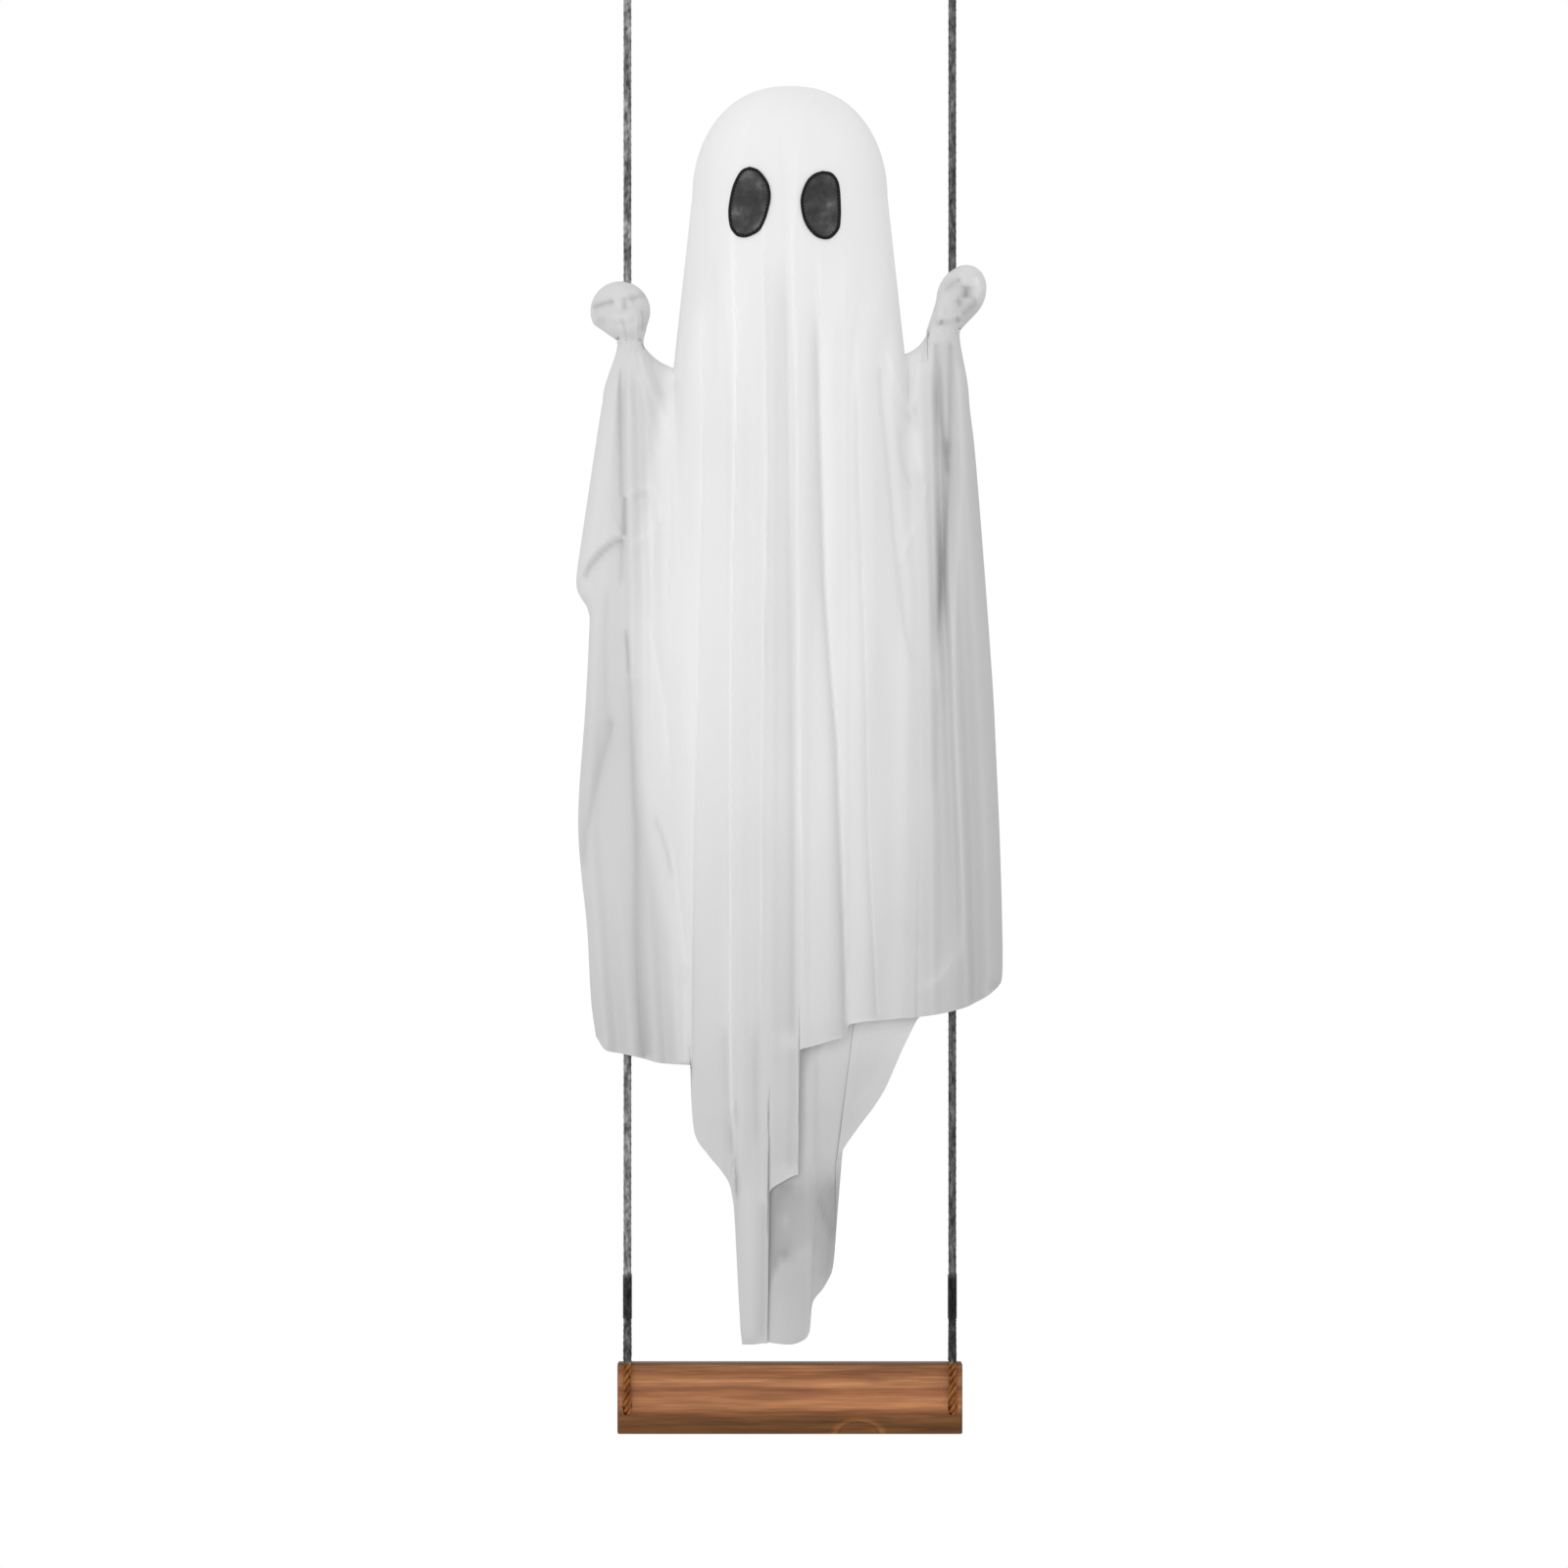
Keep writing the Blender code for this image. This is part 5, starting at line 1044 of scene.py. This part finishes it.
def column(folds, along):
    """(x, drop) down one column, and the crest that its folds add."""
    values, crest = fold_values(folds, along)
    top = ridge_point(along)
    steps = np.arange(ROWS_TOP)[:, None] / ROWS_TOP
    if along <= 1.0:
        upper, neck = hand_top(LEFT_HAND, along, top, steps)
    elif along >= 4.0:
        upper, neck = hand_top(RIGHT_HAND, 5.0 - along, top, steps)
    else:
        upper, neck = head_top(top, values[0], steps)
    below = ROWS_TOP + ROWS_NECK - len(upper)
    t = np.arange(below) / below
    middle = np.stack([neck[0] + (values[0] - neck[0]) * ease(t) ** 0.8,
                       neck[1] + (SHOULDER_DROP - neck[1]) * t], axis=1)
    hem = LEVELS[-1] + (values[4] - LEVELS[-1]) * np.arange(1, ROWS_HEM + 1) / ROWS_HEM
    drops = np.concatenate([LEVELS, hem])
    x = path_x(values, drops)
    shift = np.zeros(x.shape)
    for edge, start in ((EDGES[0], 0.0), (EDGES[1], 5.0)):
        plain = path_x(fold_values(folds, start)[0], drops)
        real = np.interp(drops, edge[:, 1], edge[:, 0])
        shift += (real - plain) * np.exp(-np.abs(x - plain) / EDGE_PULL)
    plan = np.concatenate([upper, middle, np.stack([x + shift, drops], axis=1)])
    start = FOLD_START_DROP if 2.0 < along < 3.0 else LEFT_HAND["wrist_drop"]
    level = np.interp(plan[:, 1], [SHOULDER_DROP, WAIST_DROP, values[4]], crest)
    return plan, level * ease((plan[:, 1] - start) / (SHOULDER_DROP - start))


def column_places(width):
    """Values of `along`: every fold, and steps of about `width` between them."""
    rows = np.array(FRONT_FOLDS)
    found = []
    for a, b in zip(rows, rows[1:]):
        span = max(abs(b[2] - a[2]), 30 * (b[0] - a[0]) if a[0] < 1 or a[0] >= 4 else 0) * MM
        count = max(1, round(span / width))
        found += list(a[0] + (b[0] - a[0]) * np.arange(count) / count)
    return found + [5.0]


PLACES = column_places(COLUMN_WIDTH)
print(len(PLACES), "columns of", ROWS_TOP + ROWS_NECK + len(LEVELS) + ROWS_HEM, "rows")

# %% [markdown]
# ### The cloth and its weave
#
# The fabric is plain white cotton with a fine weave and soft wrinkles. Its threads are too thin
# to model, so two crossed waves make a slight bump, and broad noise adds the wrinkles. The
# folds, the dents of the fists and the hem are real geometry. Low on the right the back hangs
# close behind the front, as two layers of a falling tail do.

# %% Build the cloth
FRONT_CREST = 0.45                  # the front of the body hangs flatter than the back
BACK_FLATNESS = 0.12
CLOSE_TOP, CLOSE_FADE = 735 * MM, 85 * MM       # where the two layers come close together
CLOSE_GAP, CLOSE_LOSS = 6.5 * MM, 4.3 * MM      # the gap between them, and what it loses lower down


def cloth_layer(folds, creases, face, seed, layer_painted_shading):
    """Places and painted shading of the front (face -1) or the back (face 1)."""
    plans, crests = zip(*(column(folds, a) for a in PLACES))
    plan, crest = np.array(plans), np.array(crests)
    x, drop = plan[..., 0], plan[..., 1]
    along = np.array(PLACES)[:, None] * np.ones(x.shape)
    whole = half_depth(x, drop, along)
    if face < 0:
        crest = np.where((along > 2.0) & (along < 3.0), FRONT_CREST * crest, crest)
    # `tone` here is the painted shade and painted light that the creases add
    height, tone = relief(x, drop, creases)
    lift = crest + height
    # slow unevenness below the neck, and small dents in the fists
    lift += 0.4 * MM * ripple(x, drop, 34 * MM, seed, 0.35) * ease((drop - 300 * MM) / (120 * MM))
    near_hand = np.exp(-((np.abs(x) - ROPE_X - 5 * MM) / (24 * MM)) ** 4)
    lift += 0.8 * MM * ripple(x, drop, 11 * MM, seed + 1) * near_hand * ease((350 * MM - drop) / (20 * MM))
    close = ease((drop - CLOSE_TOP) / CLOSE_FADE) * ease((x + 35 * MM) / (12 * MM))
    close *= 1 - ease((x - 96 * MM) / (14 * MM))
    if face > 0:
        lift = lift * (1 - 0.75 * close)
    depth = np.maximum(whole + lift * ease(whole / (6 * MM)), np.minimum(whole, 3 * MM))
    if face > 0:
        depth = depth * (1 - BACK_FLATNESS * ease((drop - 300 * MM) / (80 * MM)))
    depth[:, 0] = 0.0
    depth[0] = depth[-1] = 0.0
    y = face * depth
    if face > 0:
        gap = CLOSE_GAP - CLOSE_LOSS * ease((drop - 900 * MM) / (40 * MM))
        y += close * (gap - (2 - BACK_FLATNESS) * whole)
    return np.stack([x, y, -drop], axis=-1), layer_painted_shading(x, drop) + tone


def build_cloth(material):
    front, front_painted_shading_values = cloth_layer(FRONT_FOLDS, FRONT_CREASES, -1, 3, front_painted_shading)
    back, back_painted_shading_values = cloth_layer(BACK_FOLDS, BACK_CREASES, 1, 8, back_painted_shade)
    columns, rows = front.shape[:2]
    front_id = np.arange(columns * rows).reshape(columns, rows)
    back_id = front_id + columns * rows
    back_id[:, 0] = front_id[:, 0]
    back_id[0], back_id[-1] = front_id[0], front_id[-1]
    used = np.zeros(2 * columns * rows, bool)
    used[front_id] = used[back_id] = True
    new_id = np.cumsum(used) - 1
    faces = []
    for ids, turn in ((front_id, 1), (back_id, -1)):
        corners = np.stack([ids[:-1, :-1], ids[:-1, 1:], ids[1:, 1:], ids[1:, :-1]], axis=-1)
        faces += new_id[corners[..., ::turn].reshape(-1, 4)].tolist()
    points = np.concatenate([front.reshape(-1, 3), back.reshape(-1, 3)])[used]
    cloth = place("cloth_draped", points, faces, material, "cloth")
    # the tone attribute carries the cloth's painted shade and painted light
    add_values(cloth, "tone", np.concatenate([front_painted_shading_values.ravel(), back_painted_shading_values.ravel()])[used])
    return cloth


def make_cloth_material():
    made, paint, shader = new_material("white_cloth", 0.92)
    threads = []
    for way in ('X', 'Z'):
        wave = paint.fill(paint.nodes.new("ShaderNodeTexWave"),
                          {"Vector": paint.coordinates(), "Scale": 420})
        wave.bands_direction = way
        threads.append(wave.outputs["Fac"])
    wrinkles = paint.bump(paint.noise(38, (1, 1, 0.45), 3, 0.45), 0.25, 1.6 * MM)
    weave = paint.bump(paint.maths('ADD', *threads), 0.12, 0.08 * MM, wrinkles)
    colour = paint.ramp(paint.noise(22, (1, 1, 0.3), 3, 0.5), [(0.3, 0.835), (0.7, 0.87)])
    # the cloth's colour is multiplied by its painted shade and painted light
    paint.fill(shader, {"Base Color": paint.multiply(colour, paint.stored("tone")), "Normal": weave})
    return made


cloth = build_cloth(make_cloth_material())
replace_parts(cloth, "ghost_cloth")

# %% [markdown]
# ## The eyes
#
# Each eye is a patch of charcoal felt, stitched to the face. It could be a dark colour in the
# cloth's material, but felt has a thick soft edge. So each patch is a thin mesh that follows
# the curve of the head, and short slanted stitches of black thread run round its edge.

# %% Make the eyes
# The face is nearer to the camera than the outline of the head, so it looks a little larger
EYE_SHRINK = 0.9937
FELT_LIFT = 1.4                     # height of the middle of the felt above the cloth, in mm
LEFT_EYE = [(765, 170.5), (773, 173.5), (780, 181), (784.5, 190), (786, 201), (784, 213), (780, 226),
            (775, 235), (767, 240), (759, 242), (751, 239.5), (745.5, 232), (743.5, 217), (745, 203),
            (748, 190), (753, 179), (758, 173)]
RIGHT_EYE = [(839, 175), (848, 176.5), (854, 183), (856.5, 192), (857.5, 208), (857.5, 222), (856, 233),
             (850, 241), (844, 244), (835, 242.5), (827, 236), (821, 226), (818, 214), (817.5, 203),
             (820, 193), (824.5, 184), (831, 178)]


def make_felt():
    made, paint, shader = new_material("charcoal_felt", 0.97)
    fluff = paint.noise(260, (1, 1, 1), 5, 0.65)
    patches = paint.noise(60, (1, 1, 1), 3, 0.55)
    tone = paint.ramp(patches, [(0.38, 0.045), (0.55, 0.068), (0.68, 0.14)])
    shade = paint.ramp(fluff, [(0.3, 0.75), (0.7, 1.25)])
    paint.fill(shader, {"Base Color": paint.multiply(tone, shade),
                        "Normal": paint.bump(fluff, 0.5, 0.5 * MM)})
    return made


felt = make_felt()
black_thread = grained("black_thread", 0.8, (700, (1, 1, 1), 4, 0.6), (0.003, 0.018))


def head_surface(x, drop, lift):
    depth = half_depth(np.array([x]), np.array([drop]), np.array([2.5]))[0]
    return Vector((x, -float(depth) - lift, -drop))


def make_eye(name, outline, node):
    outline = [photo(*(PHOTO_CENTRE + EYE_SHRINK * (v - PHOTO_CENTRE) for v in p))
               for p in outline + outline[:1]]
    loop = smooth_curve([(*p, 0) for p in outline], 1.5 * MM)[:-1]
    middle = sum(loop, Vector()) / len(loop)
    # rings from the edge inwards: share of the outline's size, and height above the cloth
    rings = [(1.0, 0.2), (0.992, 0.85), (0.975, 1.15), (0.95, 1.3), (0.8, 1.35), (0.6, FELT_LIFT),
             (0.4, FELT_LIFT), (0.2, FELT_LIFT)]
    points, count = [], len(loop)
    for share, lift in rings:
        for p in loop:
            q = middle.lerp(p, share)
            points.append(head_surface(q.x, q.y, lift * MM))
    points.append(head_surface(middle.x, middle.y, FELT_LIFT * MM))
    faces = ring_faces(len(rings), count, capped=False)
    last = (len(rings) - 1) * count
    faces += [(last + k, last + (k + 1) % count, len(points) - 1) for k in range(count)]
    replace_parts(place(name, points, faces, felt, "felt"), node)
    return loop, middle


def make_stitches(name, loop, middle):
    """Short slanted stitches side by side over the edge of a patch."""
    points, faces = [], []
    fine = smooth_curve(list(loop) + [loop[0]], 1.0 * MM)[:-1]
    for k, p in enumerate(fine):
        ahead = (fine[(k + 1) % len(fine)] - fine[k - 1]).normalized()
        out = (p - middle)
        out = (out - ahead * out.dot(ahead)).normalized()
        reach = (2.0 + 0.5 * math.sin(2.4 * k)) * MM
        start, end = p + out * 0.4 * MM + ahead * 0.25 * MM, p - out * reach - ahead * 0.25 * MM
        base = len(points)
        for step, lift in ((0.0, 0.3), (0.15, 1.5), (0.5, 1.95), (0.85, 1.75), (1.0, 1.35)):
            q = start.lerp(end, step)
            for s, drop_in in ((-0.5, -0.35), (0.0, 0.0), (0.5, -0.35)):
                w = q + ahead * s * 1.05 * MM
                points.append(head_surface(w.x, w.y, (lift + drop_in) * MM))
        for r in range(4):
            for c in range(2):
                a = base + r * 3 + c
                faces.append((a, a + 1, a + 4, a + 3))
    place(name, points, faces, black_thread, "felt")


for side, outline in (("left", LEFT_EYE), ("right", RIGHT_EYE)):
    loop, middle = make_eye("eye_" + side, outline, "eye_patch_" + side)
    make_stitches("eye_" + side + "_stitches", loop, middle)

# %% [markdown]
# ## The thread round the wrists
#
# White thread is wound twice round the cloth at each wrist and pulls it into a fist. It could be
# one plain ring. A thin helix was chosen, because it shows the two turns side by side.

# %% Make the wrist threads
THREAD_R = 0.22 * MM
THREAD_PITCH = 0.5 * MM
white_thread = grained("white_thread", 0.85, (900, (1, 1, 1), 4, 0.6), (0.76, 0.84), (0.4, 0.2 * MM))
for hand, node in ((LEFT_HAND, "wrist_tie_left"), (RIGHT_HAND, "wrist_tie_right")):
    low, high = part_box(node)
    wx = (low.x + high.x) / 2
    shape = helix_tube((wx, 0, high.z - THREAD_PITCH), hand["wrist"] + 0.05 * MM, THREAD_PITCH, 2,
                       THREAD_R, step=48, sides=6)
    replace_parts(place("thread_" + node, *shape, white_thread, "thread"), node)

# %% [markdown]
# ## The wooden bar
#
# The seat is a short bar of brown stained wood with thin dark edges. Its grain could come from
# a picture of wood. Here bands of colour lie one above the other, like growth rings that are
# cut along the trunk, and two knots bend them. Long thin noise adds the streaks. This way the
# grain runs round all sides of the bar, which keeps its measured shape.

# %% Make the wood
KNOTS = [(876, 1462, 24, 14), (846, 1409, 34, 6)]   # photo place, width and height of each knot
KNOT_RIMS = [[(0.0, 1.0), (0.2, 1.15), (0.28, 0.95), (0.38, 1.75), (0.46, 1.5), (0.62, 1.0)],
             [(0.0, 1.35), (0.3, 1.2), (0.8, 1.0)]]
SEAT_MIDDLE_ROW = 1430
KNOT_PUSH = 3 * MM                  # how far a knot pushes the bands apart
BAND_WARP = 5 * MM
BANDS = [(0.00, (0.20, 0.090, 0.040)), (0.04, (0.31, 0.138, 0.060)), (0.12, (0.265, 0.100, 0.040)),
         (0.25, (0.45, 0.200, 0.088)), (0.36, (0.28, 0.110, 0.048)), (0.46, (0.36, 0.145, 0.062)),
         (0.56, (0.43, 0.185, 0.082)), (0.63, (0.39, 0.160, 0.066)), (0.69, (0.225, 0.090, 0.034)),
         (0.85, (0.125, 0.049, 0.013)), (1.00, (0.135, 0.052, 0.016))]
DARK_EDGE = (0.06, 0.025, 0.01)


def make_timber():
    made, paint, shader = new_material("brown_timber", 0.6)
    where = paint.axes()
    warp = paint.maths('MULTIPLY', paint.noise(30, (0.09, 1.0, 1.0), 3, 0.5), BAND_WARP)
    level = paint.maths('ADD', where["Z"], warp)
    rings = []
    for px, py, wide, tall in KNOTS:
        x, drop = photo(px, py)
        a = paint.scaled(where["X"], x, x + wide * PIXEL, clamp=False)
        b = paint.scaled(where["Z"], -drop, -drop + tall * PIXEL, clamp=False)
        away = paint.maths('ADD', paint.maths('MULTIPLY', a, a), paint.maths('MULTIPLY', b, b))
        rings.append(away)
        near = paint.scaled(away, 0.0, 4.0, 1.0, 0.0)
        push = 'SUBTRACT' if py > SEAT_MIDDLE_ROW else 'ADD'
        level = paint.maths(push, level, paint.maths('MULTIPLY', near, KNOT_PUSH))
    bands = paint.scaled(level, -SEAT_DROP + 2.5 * MM, -SEAT_DROP - 47.7 * MM)
    fine = paint.noise(900, (0.03, 1.0, 1.0), 4, 0.6)
    broad = paint.noise(230, (0.06, 1.0, 1.0), 3, 0.55)
    colour = paint.multiply(paint.ramp(bands, BANDS), paint.ramp(fine, [(0.3, 0.76), (0.7, 1.26)]))
    colour = paint.multiply(colour, paint.ramp(broad, [(0.35, 0.80), (0.65, 1.22)]))
    for away, stops in zip(rings, KNOT_RIMS):
        colour = paint.multiply(colour, paint.ramp(paint.maths('MULTIPLY', away, 0.4), stops))
    half = (seat_high.x - seat_low.x) / 2
    across = paint.maths('ABSOLUTE', where["X"], 0.0)
    ends = paint.scaled(across, half - 1.4 * MM, half - 0.5 * MM)
    top = paint.scaled(where["Z"], -SEAT_DROP - 1.2 * MM, -SEAT_DROP - 0.5 * MM)
    edge = paint.maths('MULTIPLY', paint.maths('MAXIMUM', ends, top), 0.55)
    paint.fill(shader, {"Base Color": paint.mix(edge, colour, DARK_EDGE),
                        "Normal": paint.bump(fine, 0.35, 0.3 * MM)})
    return made


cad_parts["seat_board"].material_slots[0].material = make_timber()
print("seat", [round(v, 4) for v in seat_high - seat_low])

# %% [markdown]
# ## The hidden frame
#
# Inside are a foam dome for the head, two foam hands, a wooden dowel and a bent wire. They show
# only from below, through the open hem. They could be left plain. Each gets a simple finish,
# because a picture from below would show them: small cells for the foam, fine grain along the
# dowel and drawn lines along the wire.

# %% Make the materials of the hidden frame
def make_foam():
    made, paint, shader = new_material("white_foam", 0.8)
    beads = paint.fill(paint.nodes.new("ShaderNodeTexVoronoi"),
                       {"Vector": paint.coordinates(), "Scale": 350}).outputs["Distance"]
    tone = paint.ramp(beads, [(0.2, (0.82, 0.82, 0.80)), (0.7, (0.70, 0.70, 0.68))])
    paint.fill(shader, {"Base Color": tone, "Normal": paint.bump(beads, 0.4, 0.6 * MM)})
    return made


foam = make_foam()
wire = grained("drawn_wire", 0.35, (800, (0.1, 1, 1), 3, 0.5), ((0.45, 0.45, 0.46), (0.60, 0.60, 0.61)))
wire.node_tree.nodes["Principled BSDF"].inputs["Metallic"].default_value = 1.0
dowel = grained("pale_dowel", 0.6, (500, (1, 1, 0.05), 4, 0.6), ((0.42, 0.27, 0.14), (0.62, 0.44, 0.26)),
                (0.3, 0.2 * MM))
for node, finish in (("head_form", foam), ("hand_form_left", foam), ("hand_form_right", foam),
                     ("arm_wire", wire), ("neck_post", dowel)):
    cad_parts[node].material_slots[0].material = finish

# %% [markdown]
# ## Light, floor and background
#
# The photograph has a white background and soft, even light. Many lamps could make it, but each
# adds a shadow. So the world is a plain pale light from everywhere, which shows white to the
# camera, and one large lamp to the upper left of the camera gives the folds their soft shadows.
# The floor lies below the picture.

# %% Make the lights, the floor and the background
WORLD_LIGHT = 0.88
LAMP_PLACE, LAMP_AIM, LAMP_SIZE, LAMP_POWER = (-1.0, -2.9, 0.9), (0, 0, -0.5), 1.6, 16
FLOOR_DROP, FLOOR_RADIUS, FLOOR_SIDES = 1.55, 3.2, 64


def make_world():
    world = bpy.data.worlds.new("studio")
    bpy.context.scene.world = world
    world.use_nodes = True
    sky = Paint(world.node_tree)
    rays = sky.nodes.new("ShaderNodeLightPath").outputs
    seen = sky.maths('MAXIMUM', rays["Is Camera Ray"], rays["Is Glossy Ray"])
    seen = sky.maths('MAXIMUM', seen, rays["Is Transmission Ray"])
    sky.fill(sky.nodes["Background"], {"Strength": sky.scaled(seen, 0, 1, WORLD_LIGHT, 1.0),
                                       "Color": (1, 1, 1)})


def make_lamp():
    data = bpy.data.lights.new("key", 'AREA')
    data.shape = 'DISK'
    data.size = LAMP_SIZE
    data.energy = LAMP_POWER
    lamp = bpy.data.objects.new("key", data)
    bpy.context.collection.objects.link(lamp)
    lamp.location = LAMP_PLACE
    lamp.rotation_euler = (Vector(LAMP_AIM) - Vector(LAMP_PLACE)).to_track_quat('-Z', 'Y').to_euler()


def make_floor():
    mesh = bpy.data.meshes.new("floor")
    turns = [2 * math.pi * k / FLOOR_SIDES for k in range(FLOOR_SIDES)]
    mesh.from_pydata([(FLOOR_RADIUS * math.cos(a), FLOOR_RADIUS * math.sin(a), -FLOOR_DROP) for a in turns],
                     [], [tuple(range(FLOOR_SIDES))])
    mesh.materials.append(grained("pale_floor", 0.9, (6, (1, 1, 1), 3, 0.5), (0.86, 0.88)))
    floor = bpy.data.objects.new("floor", mesh)
    bpy.context.collection.objects.link(floor)


bpy.context.scene.view_settings.view_transform = 'Standard'
make_world()
make_lamp()
make_floor()
